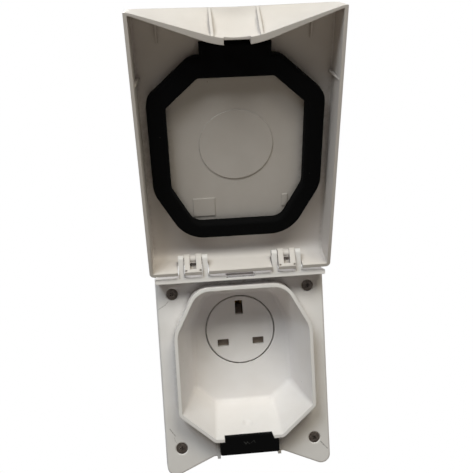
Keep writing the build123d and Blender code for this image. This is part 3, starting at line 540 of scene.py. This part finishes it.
@dataclass(frozen=True)
class Finish:
    """What every finish has: a name, and a material of its own."""

    name: str

    def start(self) -> tuple[bpy.types.Material, Sheet, bpy.types.Node, Socket]:
        """Makes an empty material.

        Returns:
            The material, its sheet, its Principled shader and its object coordinates.
        """
        material = bpy.data.materials.new(self.name)
        material.use_nodes = True
        material.node_tree.nodes.clear()
        sheet = Sheet(material.node_tree)
        shader = sheet.add("ShaderNodeBsdfPrincipled")
        out = sheet.add("ShaderNodeOutputMaterial")
        sheet.feed(out.inputs["Surface"], shader.outputs[0])
        coords = sheet.add("ShaderNodeTexCoord").outputs["Object"]
        return material, sheet, shader, coords


@dataclass(frozen=True)
class Plastic(Finish):
    """Moulded plastic with grain, mottling, grime and painted corner shade, rubbed edges and marks."""

    colour: Colour = (0.84, 0.815, 0.82)
    shade: Colour = (0.76, 0.73, 0.725)
    warm: Colour = (0.82, 0.77, 0.75)
    dirt_and_shade: Colour = (0.14, 0.11, 0.08)
    roughness: float = 0.44
    gloss: float = 0.4
    ior: float = 1.49
    grain_size: float = 0.00042
    grain_depth: float = 0.00002
    mottle: float = 0.3
    mottle_rough: float = 0.08
    haze: Patches = Patches(22.0, 4.0, 0.6, 0.36, 0.7)
    grime_and_shade: float = 0.5
    grime_rough: float = 0.3
    reach: float = 0.004
    rub: float = 0.25
    rub_gain: float = 1.12
    rub_polish: float = 0.14
    specks: float = 0.05
    speck_spacing: float = 0.007
    speck_share: float = 0.7
    cut_depth: float = 2.0
    marks: tuple[Mark, ...] = ()

    def build(self, effects: Effects) -> bpy.types.Material:
        """Builds the material.

        Args:
            effects: The shared effects.

        Returns:
            The material.
        """
        material, sheet, shader, coords = self.start()
        grain = effects.grain.place(sheet, Vector=coords, Grain_Size=self.grain_size).outputs
        toned = sheet.math("MULTIPLY", grain["Mottle"], self.mottle)
        colour = sheet.blend(toned, rgba(self.colour), rgba(self.shade))
        colour = sheet.blend(sheet.patches(coords, self.haze, self.mottle), colour, rgba(self.warm))
        edges = effects.rub.place(sheet, Vector=coords, Amount=self.rub).outputs
        colour = sheet.blend(edges["Mask"], colour, rgba(brighten(self.colour, self.rub_gain)))
        # Painted shade mixed with grime: inside corners darken towards the dark brown by ambient occlusion.
        corner = effects.grime_and_shade.place(sheet, Vector=coords, Reach=self.reach, Amount=self.grime_and_shade)
        grime_and_shade = corner.outputs["Mask"]
        colour = sheet.blend(grime_and_shade, colour, rgba(self.dirt_and_shade))
        specks = effects.specks.place(
            sheet, Vector=coords, Spacing=self.speck_spacing, Size=self.specks
        ).outputs["Mask"]
        colour = sheet.blend(sheet.math("MULTIPLY", specks, self.speck_share), colour, rgba(self.dirt_and_shade))
        colour, strengths = draw_marks(self.marks, effects, sheet, coords, colour)
        sheet.feed(shader.inputs["Base Color"], colour)
        mottled = sheet.math("MULTIPLY", grain["Mottle"], self.mottle_rough)
        rough = sheet.math("ADD", self.roughness, mottled)
        rough = sheet.math("ADD", rough, sheet.math("MULTIPLY", grime_and_shade, self.grime_rough))
        polish = sheet.math("MULTIPLY", edges["Mask"], self.rub_polish)
        sheet.feed(shader.inputs["Roughness"], sheet.math("SUBTRACT", rough, polish, clamp=True))
        cuts: Value = 0.0
        for strength in strengths:
            cuts = sheet.math("ADD", cuts, strength)
        height = sheet.math("SUBTRACT", grain["Height"], sheet.math("MULTIPLY", cuts, self.cut_depth))
        sheet.feed(shader.inputs["Normal"], sheet.bump(height, self.grain_depth, edges["Normal"]))
        sheet.feed(shader.inputs["IOR"], self.ior)
        sheet.feed(shader.inputs["Specular IOR Level"], self.gloss)
        return material


@dataclass(frozen=True)
class Rubber(Finish):
    """Matt black rubber with moulding bloom, dust and scuffs."""

    colour: Colour = (0.0025, 0.0025, 0.0027)
    bloom: Colour = (0.01, 0.0097, 0.0093)
    speck_colour: Colour = (0.07, 0.065, 0.06)
    roughness: float = 0.85
    gloss: float = 0.05
    grain_size: float = 0.00032
    grain_depth: float = 0.00003
    swell_size: float = 0.008
    dust: float = 0.3
    dust_rough: float = 0.5
    cloud: Patches = Patches(90.0, 6.0, 0.68, 0.46, 0.74)
    rub: float = 0.5
    rub_share: float = 0.35
    rub_polish: float = 0.12
    specks: float = 0.09
    speck_spacing: float = 0.004
    speck_share: float = 0.5
    marks: tuple[Mark, ...] = ()

    def build(self, effects: Effects) -> bpy.types.Material:
        """Builds the material.

        Args:
            effects: The shared effects.

        Returns:
            The material.
        """
        material, sheet, shader, coords = self.start()
        grain = effects.grain.place(
            sheet, Vector=coords, Grain_Size=self.grain_size, Swell_Size=self.swell_size
        ).outputs
        cloud = sheet.patches(coords, self.cloud, self.dust)
        colour = sheet.blend(cloud, rgba(self.colour), rgba(self.bloom))
        rub = effects.rub.place(sheet, Vector=coords, Amount=self.rub).outputs["Mask"]
        colour = sheet.blend(sheet.math("MULTIPLY", rub, self.rub_share), colour, rgba(self.bloom))
        specks = effects.specks.place(
            sheet, Vector=coords, Spacing=self.speck_spacing, Size=self.specks
        ).outputs["Mask"]
        speckled = sheet.math("MULTIPLY", specks, self.speck_share)
        colour = sheet.blend(speckled, colour, rgba(self.speck_colour))
        colour, _ = draw_marks(self.marks, effects, sheet, coords, colour)
        sheet.feed(shader.inputs["Base Color"], colour)
        rough = sheet.math("ADD", self.roughness, sheet.math("MULTIPLY", cloud, self.dust_rough))
        polish = sheet.math("MULTIPLY", rub, self.rub_polish)
        sheet.feed(shader.inputs["Roughness"], sheet.math("SUBTRACT", rough, polish))
        sheet.feed(shader.inputs["Normal"], sheet.bump(grain["Height"], self.grain_depth))
        sheet.feed(shader.inputs["Specular IOR Level"], self.gloss)
        return material


@dataclass(frozen=True)
class Metal(Finish):
    """Drawn, stamped or plated metal with stains, worn edges, and grime and painted shade in its hollows.
    """

    colour: Colour = (0.5, 0.49, 0.47)
    stain: Colour = (0.25, 0.2, 0.16)
    dirt_and_shade: Colour = (0.03, 0.025, 0.02)
    stain_share: float = 0.5
    stain_rough: float = 0.35
    roughness: float = 0.38
    line_size: float = 0.0002
    line_depth: float = 0.00001
    line_rough: float = 0.1
    grime_and_shade: float = 0.8
    reach: float = 0.0015
    rub: float = 0.7
    rub_width: float = 0.0003
    rub_gain: float = 1.5

    def build(self, effects: Effects) -> bpy.types.Material:
        """Builds the material.

        Args:
            effects: The shared effects.

        Returns:
            The material.
        """
        material, sheet, shader, coords = self.start()
        drawn = effects.drawn.place(sheet, Vector=coords, Line_Size=self.line_size).outputs
        stain = sheet.math("MULTIPLY", drawn["Stain"], self.stain_share)
        colour = sheet.blend(stain, rgba(self.colour), rgba(self.stain))
        # Painted shade mixed with grime: hollows darken towards near black by ambient occlusion.
        grime_and_shade = effects.grime_and_shade.place(sheet, Vector=coords, Reach=self.reach, Amount=self.grime_and_shade)
        colour = sheet.blend(grime_and_shade.outputs["Mask"], colour, rgba(self.dirt_and_shade))
        rub = effects.rub.place(sheet, Vector=coords, Width=self.rub_width, Amount=self.rub)
        colour = sheet.blend(rub.outputs["Mask"], colour, rgba(brighten(self.colour, self.rub_gain)))
        sheet.feed(shader.inputs["Base Color"], colour)
        sheet.feed(shader.inputs["Metallic"], sheet.math("SUBTRACT", 1.0, stain))
        rough = sheet.math("ADD", self.roughness, sheet.math("MULTIPLY", stain, self.stain_rough))
        rough = sheet.math("ADD", rough, sheet.math("MULTIPLY", drawn["Lines"], self.line_rough))
        sheet.feed(shader.inputs["Roughness"], rough)
        sheet.feed(shader.inputs["Normal"], sheet.bump(drawn["Lines"], self.line_depth))
        return material


def dress(material: bpy.types.Material, nodes: Iterable[str]) -> None:
    """Gives a material to CAD nodes.

    Args:
        material: The material.
        nodes: Names of the nodes.
    """
    for name in nodes:
        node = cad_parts[name]
        if not node.material_slots:
            node.data.materials.append(material)
        for slot in node.material_slots:
            slot.material = material
        LOG.info("dressed %s in %s", name, material.name)


def select_only(piece: bpy.types.Object) -> None:
    """Selects one object alone and makes it the active one.

    Args:
        piece: The object.
    """
    bpy.ops.object.select_all(action="DESELECT")
    bpy.context.view_layer.objects.active = piece
    piece.select_set(True)


CRACK_GREY: Colour = (0.2, 0.17, 0.155)
CRACK_DARK: Colour = (0.06, 0.05, 0.045)
CHIP_BROWN: Colour = (0.09, 0.07, 0.055)
SCUFF_GREY: Colour = (0.11, 0.11, 0.11)
# Painted shadow: near black for the dark gap in the ledge's notch.
NOTCH_PAINTED_SHADOW: Colour = (0.03, 0.02, 0.014)


def broken_line(points: Sequence[Point], width: float, colour: Colour, strength: float) -> tuple[Mark, ...]:
    """Marks that follow one another along a crack or scratch.

    Args:
        points: Points along it, in millimetres.
        width: Its width in millimetres.
        colour: What shows in it.
        strength: How strongly it shows.

    Returns:
        One mark for each pair of neighbouring points.
    """
    return tuple(Mark(a, b, width, colour, strength) for a, b in zip(points, points[1:]))


@dataclass
class Housing:
    """The base with its flange, collar and recess, and its rubber pieces."""

    # Cracks by three of the screws, a chip on the left edge, and painted shadow in the notch of the ledge.
    plastic: Plastic = Plastic(
        "housing_plastic",
        marks=(
            *broken_line(
                ((-43.3, -5.5, 43.4), (-45.2, -5.5, 41.4), (-47.2, -5.5, 40.2), (-49.3, -5.5, 39.0)),
                0.42, CRACK_GREY, 0.6,
            ),
            *broken_line(
                ((-47.3, -5.5, -34.6), (-45.9, -5.5, -36.9), (-44.2, -5.5, -39.3)), 0.45, CRACK_GREY, 0.75
            ),
            *broken_line(
                ((-45.0, -5.5, -40.2), (-44.6, -5.5, -42.0), (-43.6, -5.5, -44.0)), 0.35, CRACK_GREY, 0.45
            ),
            *broken_line(
                ((44.6, -5.5, -50.4), (46.2, -5.5, -52.4), (48.6, -5.4, -55.0)), 0.55, CRACK_DARK, 0.8
            ),
            Mark((-49.9, -5.4, 27.6), (-50.3, -5.0, 26.9), 0.5, CHIP_BROWN, 0.7),
            # Painted shadow over the notch of the ledge, where the lid leaves a dark gap.
            *(Mark((-7.7, y, 57.5), (7.7, y, 57.5), 1.95, NOTCH_PAINTED_SHADOW, 2.5) for y in (-14.6, -11.8)),
        ),
    )
    exit_rubber: Rubber = Rubber(
        "exit_rubber",
        marks=(
            *broken_line(
                ((-3.6, -16.9, -41.7), (-2.4, -16.9, -43.0), (-1.6, -16.9, -42.0), (-0.2, -16.9, -43.1)),
                0.4, SCUFF_GREY, 0.55,
            ),
            *broken_line(
                ((0.6, -16.9, -42.6), (2.4, -16.9, -41.4), (3.1, -16.9, -42.7)), 0.35, SCUFF_GREY, 0.4
            ),
        ),
    )
    seal_rubber: Rubber = Rubber("seal_rubber", dust=0.4)

    def dress(self, effects: Effects) -> None:
        """Dresses the housing's nodes.

        Args:
            effects: The shared effects.
        """
        dress(self.plastic.build(effects), ("base_housing",))
        dress(self.exit_rubber.build(effects), ("cable_exit_seal",))
        seals = ("wall_seal", "socket_face_seal", "rear_cover_seal", "gland_seal")
        dress(self.seal_rubber.build(effects), seals)


@dataclass
class Lid:
    """The hinged lid and its gasket."""

    # Painted shade: the lid is a darker, warmer copy of the housing plastic, standing in for the shade
    # inside the open lid.
    plastic: Plastic = Plastic(
        "lid_plastic", colour=(0.73, 0.687, 0.668), shade=(0.65, 0.607, 0.583), warm=(0.695, 0.635, 0.597)
    )
    rubber: Rubber = Rubber("gasket_rubber")

    def dress(self, effects: Effects) -> None:
        """Dresses the lid's nodes."""
        dress(self.plastic.build(effects), ("lid_shell",))
        dress(self.rubber.build(effects), ("lid_gasket",))


@dataclass
class Insert:
    """The round face, the shutter and the contacts behind it."""

    face: Plastic = Plastic("face_plastic", grain_depth=0.000008, roughness=0.4)
    # The shutter's own grey-brown, darkened further as painted shade for the dark slots.
    shutter: Plastic = Plastic(
        "shutter_plastic", colour=(0.26, 0.21, 0.175), shade=(0.19, 0.155, 0.13), warm=(0.22, 0.17, 0.13)
    )
    carrier: Plastic = Plastic(
        "carrier_plastic", colour=(0.03, 0.026, 0.024), shade=(0.024, 0.02, 0.018), warm=(0.03, 0.024, 0.02)
    )
    brass: Metal = Metal(
        "contact_brass", colour=(0.62, 0.42, 0.17), stain=(0.3, 0.18, 0.08), stain_share=0.3
    )
    spring: Metal = Metal("spring_steel", colour=(0.5, 0.5, 0.49), stain_share=0.2)

    def dress(self, effects: Effects) -> None:
        """Dresses the insert's nodes.

        Args:
            effects: The shared effects.
        """
        dress(self.face.build(effects), ("socket_face",))
        dress(self.shutter.build(effects), ("shutter",))
        dress(self.carrier.build(effects), ("contact_carrier",))
        dress(self.brass.build(effects), ("contact_line", "contact_neutral", "contact_earth"))
        dress(self.spring.build(effects), ("shutter_spring",))


@dataclass
class WallScrew:
    """A countersunk wood screw, in metres and degrees, modelled once and copied to each corner."""

    # Places along the screw with their radii: the dome, the rim and cone, and the neck down to the thread.
    profile: tuple[tuple[float, float], ...] = (
        (-0.00565, 0.0009), (-0.00552, 0.0018), (-0.00532, 0.0026), (-0.00512, 0.0032),
        (-0.005, 0.00348), (-0.0049, 0.00338), (-0.00325, 0.0017),
        (-0.0031, 0.00165), (-0.0003, 0.00165), (0.0001, 0.00145),
    )
    ring_points: int = 24
    crest_radius: float = 0.00197
    pitch: float = 0.0019
    turn_steps: int = 15
    thread_end: float = 0.0215
    tip: float = 0.0249
    tip_radius: float = 0.0001
    weld_distance: float = 0.000001
    smooth_angle: float = 35.0
    recess_width: float = 0.0009
    recess_length: float = 0.0035
    recess_depth: float = 0.0014
    recess_taper: float = 0.55
    cutter_overshoot: float = 0.001
    half_width: float = 0.04075
    half_height: float = 0.04745
    # Name, side along x and z, and the turn of the recess.
    places: tuple[tuple[str, int, int, float], ...] = (
        ("bottom_left", -1, -1, 12.0),
        ("top_left", -1, 1, 58.0),
        ("bottom_right", 1, -1, 33.0),
        ("top_right", 1, 1, 71.0),
    )

    def select_last_ring(self, screw: bpy.types.Object, only: Optional[int] = None) -> None:
        """Selects the newest ring, or one of its points, and stays in edit mode.

        Args:
            screw: The screw being modelled.
            only: The point's number in the ring, or None for the whole ring.
        """
        bpy.ops.mesh.select_all(action="DESELECT")
        bpy.ops.object.mode_set(mode="OBJECT")
        ring = screw.data.vertices[-self.ring_points:]
        for number, vertex in enumerate(ring):
            vertex.select = only in (None, number)
        bpy.ops.object.mode_set(mode="EDIT")

    def push_ring(self, start: float, end: float, scale: float, turn: float = 0.0) -> None:
        """Extrudes the selected ring along the screw, then turns and resizes it.

        Args:
            start: Where the ring is.
            end: Where it goes.
            scale: Its new size over the old.
            turn: Angle in radians.
        """
        bpy.ops.mesh.extrude_region_move(TRANSFORM_OT_translate={"value": (0.0, end - start, 0.0)})
        centre = (0.0, end, 0.0)
        if turn:
            bpy.ops.transform.rotate(value=turn, orient_axis="Y", center_override=centre)
        if scale != 1.0:
            bpy.ops.transform.resize(value=(scale, 1.0, scale), center_override=centre)

    def add_disc(self, radius: float, place: float) -> bpy.types.Object:
        """Adds the disc that closes the head, and a bare copy of its edge for the rings to grow from.

        Args:
            radius: The disc's radius.
            place: Its place along the screw.

        Returns:
            The new object, in edit mode.
        """
        bpy.ops.object.select_all(action="DESELECT")
        bpy.ops.mesh.primitive_circle_add(
            vertices=self.ring_points, radius=radius, location=(0, 0, 0), rotation=(QUARTER_TURN, 0, 0)
        )
        disc = bpy.context.object
        bpy.ops.object.transform_apply(rotation=True)
        bpy.ops.object.mode_set(mode="EDIT")
        bpy.ops.mesh.select_all(action="SELECT")
        bpy.ops.transform.translate(value=(0.0, place, 0.0))
        bpy.ops.mesh.edge_face_add()
        bpy.ops.mesh.duplicate()
        bpy.ops.mesh.delete(type="ONLY_FACE")
        return disc

    def model_body(self) -> bpy.types.Object:
        """Models the head, the neck, the thread and the point.

        Returns:
            The screw without its recess.
        """
        (at, radius), *rest = self.profile
        screw = self.add_disc(radius, at)
        self.select_last_ring(screw)
        for end, width in rest:
            self.push_ring(at, end, width / radius)
            at, radius = end, width
        # One point of the ring stands out as the crest, and winds into a thread as the ring turns.
        self.select_last_ring(screw, only=0)
        crest = self.crest_radius / radius
        bpy.ops.transform.resize(value=(crest, 1.0, crest), center_override=(0.0, at, 0.0))
        self.select_last_ring(screw)
        step = self.pitch / self.turn_steps
        turn = 2 * math.pi / self.turn_steps
        for _ in range(int((self.thread_end - at) / step)):
            self.push_ring(at, at + step, 1.0, turn)
            at += step
        steps = int((self.tip - at) / step)
        shrink = (self.tip_radius / radius) ** (1 / steps)
        for _ in range(steps):
            self.push_ring(at, at + step, shrink, turn)
            at += step
        bpy.ops.mesh.edge_face_add()
        bpy.ops.mesh.select_all(action="SELECT")
        bpy.ops.mesh.remove_doubles(threshold=self.weld_distance)
        bpy.ops.mesh.normals_make_consistent(inside=False)
        bpy.ops.object.mode_set(mode="OBJECT")
        return screw

    def model_bar(self, turn: float) -> bpy.types.Object:
        """Models one tapered bar of the cross recess, in its place.

        Args:
            turn: The bar's angle in radians.

        Returns:
            The bar.
        """
        bpy.ops.object.select_all(action="DESELECT")
        bpy.ops.mesh.primitive_cube_add(size=1.0, location=(0, 0, 0))
        bar = bpy.context.object
        top = self.profile[0][0] - self.cutter_overshoot
        depth = self.recess_depth + self.cutter_overshoot
        middle = top + depth / 2
        size = (self.recess_width, depth, self.recess_length)
        bpy.ops.object.mode_set(mode="EDIT")
        bpy.ops.mesh.select_all(action="SELECT")
        bpy.ops.transform.resize(value=size, center_override=(0, 0, 0))
        bpy.ops.transform.translate(value=(0.0, middle, 0.0))
        bpy.ops.transform.rotate(value=turn, orient_axis="Y", center_override=(0, 0, 0))
        bpy.ops.mesh.select_all(action="DESELECT")
        bpy.ops.object.mode_set(mode="OBJECT")
        for vertex in bar.data.vertices:
            vertex.select = vertex.co.y > middle
        bpy.ops.object.mode_set(mode="EDIT")
        taper = (self.recess_taper, 1.0, self.recess_taper)
        bpy.ops.transform.resize(value=taper, center_override=(0, top, 0))
        bpy.ops.object.mode_set(mode="OBJECT")
        return bar

    def cut_recess(self, screw: bpy.types.Object, turn: float) -> None:
        """Cuts one tapered bar of the cross recess into the head.

        Args:
            screw: The screw.
            turn: The bar's angle in radians.
        """
        bar = self.model_bar(turn)
        select_only(screw)
        cut = screw.modifiers.new("recess", "BOOLEAN")
        cut.operation = "DIFFERENCE"
        cut.solver = "EXACT"
        cut.object = bar
        bpy.ops.object.modifier_apply(modifier=cut.name)
        bpy.data.objects.remove(bar)

    def build(self, material: bpy.types.Material) -> None:
        """Models the screw and copies it to the four corners.

        Args:
            material: The screws' material.
        """
        master = self.model_body()
        for turn in (0.0, QUARTER_TURN):
            self.cut_recess(master, turn)
        bpy.ops.object.shade_smooth_by_angle(angle=math.radians(self.smooth_angle))
        master.data.materials.append(material)
        for corner, side, level, turn in self.places:
            screw = master.copy()
            screw.data = master.data.copy()
            screw.name = f"threaded_screw_{corner}"
            bpy.context.scene.collection.objects.link(screw)
            screw.location = (side * self.half_width, 0.0, level * self.half_height)
            screw.rotation_euler = (0.0, math.radians(turn), 0.0)
            select_only(screw)
            bpy.ops.object.transform_apply(location=True, rotation=True, scale=False)
            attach(screw, Body.HOUSING.value)
            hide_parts(f"wall_screw_{corner}")
            LOG.info("modelled %s", screw.name)
        bpy.data.objects.remove(master)


@dataclass
class Fixings:
    """Screws and hinge pins."""

    screw: WallScrew = field(default_factory=WallScrew)
    wall: Metal = Metal(
        "wall_screw_steel", colour=(0.085, 0.07, 0.06), stain=(0.03, 0.02, 0.014), stain_share=0.8,
        roughness=0.5, rub_gain=6.0,
    )
    small: Metal = Metal("small_screw_steel", colour=(0.55, 0.54, 0.5), stain_share=0.25)
    pin: Metal = Metal("pin_steel", colour=(0.28, 0.23, 0.19), stain_share=0.6)

    def dress(self, effects: Effects) -> None:
        """Dresses the fixings' nodes and builds the threaded wall screws.

        Args:
            effects: The shared effects.
        """
        wall = self.wall.build(effects)
        dress(wall, [f"wall_screw_{corner}" for corner, *_ in self.screw.places])
        self.screw.build(wall)
        small = [f"terminal_screw_{pole}" for pole in ("line", "neutral", "earth")]
        small += [f"{owner}_screw_{side}" for owner in ("carrier", "cover") for side in ("left", "right")]
        dress(self.small.build(effects), small)
        dress(self.pin.build(effects), ("hinge_pin_left", "hinge_pin_right"))


@dataclass
class RearBox:
    """The rear cover and the cable gland."""

    cover: Plastic = Plastic(
        "cover_plastic", colour=(0.5, 0.48, 0.45), shade=(0.43, 0.41, 0.38), warm=(0.46, 0.42, 0.38)
    )
    gland: Plastic = Plastic(
        "gland_plastic", colour=(0.12, 0.12, 0.125), shade=(0.09, 0.09, 0.09), warm=(0.1, 0.095, 0.09)
    )

    def dress(self, effects: Effects) -> None:
        """Dresses the rear box's nodes."""
        dress(self.cover.build(effects), ("rear_cover",))
        dress(self.gland.build(effects), ("gland_body", "gland_locknut", "gland_nut"))


@dataclass(frozen=True)
class Lamp:
    """A square lamp: its place and side in metres, its power in watts and its colour."""

    name: str
    place: Point
    watts: float
    colour: Colour
    size: float = 0.5


@dataclass
class Studio:
    """Floor, lamps, world and camera, in metres and radians, with lens and sensor in millimetres."""

    floor_z: float = -1.0
    floor_size: float = 8.0
    floor_colour: Colour = (0.75, 0.65, 0.51)
    world_colour: Colour = (1.0, 0.88, 0.74)
    world_level: float = 0.01
    key_lamp: Lamp = Lamp("key_lamp", (-0.42, -0.765, 0.9), 8.0, (0.93, 0.99, 1.0))
    fill_lamp: Lamp = Lamp("fill_lamp", (0.265, -0.766, 0.962), 6.6, (1.0, 0.95, 0.79))
    back_lamp: Lamp = Lamp("back_lamp", (-0.4, 1.1, 0.6), 8.0, (1.0, 0.98, 0.94))
    aim: Point = (0.0, -0.02, 0.06)
    camera_place: Point = (-0.027851, -0.380796, 0.11212)
    camera_turns: Point = (0.086, -0.073, -0.056)
    lens: float = 48.295
    sensor: float = 36.0
    nearest: float = 0.01
    farthest: float = 20.0

    def build(self) -> None:
        """Builds the whole studio."""
        self.build_floor()
        self.build_world()
        for lamp in (self.key_lamp, self.fill_lamp, self.back_lamp):
            self.build_lamp(lamp)
        self.build_camera()
        bpy.context.scene.view_settings.view_transform = "Standard"

    def see_white(self, sheet: Sheet, shader: Socket, glow_kind: str) -> Socket:
        """Shows white to the camera, to gloss and through glass, and the given shader to all other rays.

        Args:
            sheet: The sheet to draw in.
            shader: What other rays see.
            glow_kind: The type of the white shader's node.

        Returns:
            The mixed shader's socket.
        """
        path = sheet.add("ShaderNodeLightPath")
        seen = sheet.math("MAXIMUM", path.outputs["Is Camera Ray"], path.outputs["Is Glossy Ray"])
        seen = sheet.math("MAXIMUM", seen, path.outputs["Is Transmission Ray"])
        white = sheet.add(glow_kind)
        sheet.feed(white.inputs["Color"], WHITE)
        sheet.feed(white.inputs["Strength"], 1.0)
        mix = sheet.add("ShaderNodeMixShader")
        sheet.feed(mix.inputs[0], seen)
        sheet.feed(mix.inputs[1], shader)
        sheet.feed(mix.inputs[2], white.outputs[0])
        return mix.outputs[0]

    def build_floor(self) -> None:
        """Adds the plain pale floor well below the part."""
        bpy.ops.object.select_all(action="DESELECT")
        bpy.ops.mesh.primitive_plane_add(size=self.floor_size, location=(0, 0, self.floor_z))
        floor = bpy.context.object
        floor.name = "floor"
        material = bpy.data.materials.new("floor_paint")
        material.use_nodes = True
        material.node_tree.nodes.clear()
        sheet = Sheet(material.node_tree)
        paint = sheet.add("ShaderNodeBsdfDiffuse")
        sheet.feed(paint.inputs["Color"], rgba(self.floor_colour))
        out = sheet.add("ShaderNodeOutputMaterial")
        sheet.feed(out.inputs["Surface"], self.see_white(sheet, paint.outputs[0], "ShaderNodeEmission"))
        floor.data.materials.append(material)

    def build_world(self) -> None:
        """Lights the part softly from all round and shows a white background."""
        world = bpy.data.worlds.new("studio_world")
        bpy.context.scene.world = world
        world.use_nodes = True
        world.node_tree.nodes.clear()
        sheet = Sheet(world.node_tree)
        sky = sheet.add("ShaderNodeBackground")
        sheet.feed(sky.inputs["Color"], rgba(self.world_colour))
        sheet.feed(sky.inputs["Strength"], self.world_level)
        out = sheet.add("ShaderNodeOutputWorld")
        sheet.feed(out.inputs["Surface"], self.see_white(sheet, sky.outputs[0], "ShaderNodeBackground"))

    def build_lamp(self, lamp: Lamp) -> None:
        """Adds a soft square lamp aimed at the part.

        Args:
            lamp: The lamp's place, size, power and colour.
        """
        data = bpy.data.lights.new(lamp.name, "AREA")
        data.shape = "SQUARE"
        data.size = lamp.size
        data.energy = lamp.watts
        data.color = lamp.colour
        head = bpy.data.objects.new(lamp.name, data)
        bpy.context.scene.collection.objects.link(head)
        head.location = lamp.place
        aim = Vector(self.aim) - Vector(lamp.place)
        head.rotation_euler = aim.to_track_quat("-Z", "Y").to_euler()

    def build_camera(self) -> None:
        """Stands the camera where the photograph was taken from."""
        pitch, yaw, roll = self.camera_turns
        turn = Matrix.Rotation(roll, 3, "Z") @ Matrix.Rotation(pitch, 3, "X") @ Matrix.Rotation(yaw, 3, "Y")
        # Each row has x to the right, y down and z ahead, and is put into the scene's axes, with z up.
        right, down, ahead = (Vector((row[0], row[2], -row[1])) for row in turn)
        pose = Matrix((right, -down, -ahead)).transposed().to_4x4()
        pose.translation = Vector(self.camera_place)
        data = bpy.data.cameras.new("photo_camera")
        data.lens = self.lens
        data.sensor_width = self.sensor
        data.clip_start = self.nearest
        data.clip_end = self.farthest
        camera = bpy.data.objects.new("photo_camera", data)
        bpy.context.scene.collection.objects.link(camera)
        camera.matrix_world = pose
        bpy.context.scene.camera = camera


def main() -> None:
    """Builds and dresses the outlet, and lights it."""
    logging.basicConfig(level=logging.INFO, format="%(message)s")
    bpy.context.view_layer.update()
    effects = Effects()
    for part in (Housing(), Lid(), Insert(), Fixings(), RearBox()):
        part.dress(effects)
    Studio().build()


if __name__ == "__main__":
    main()
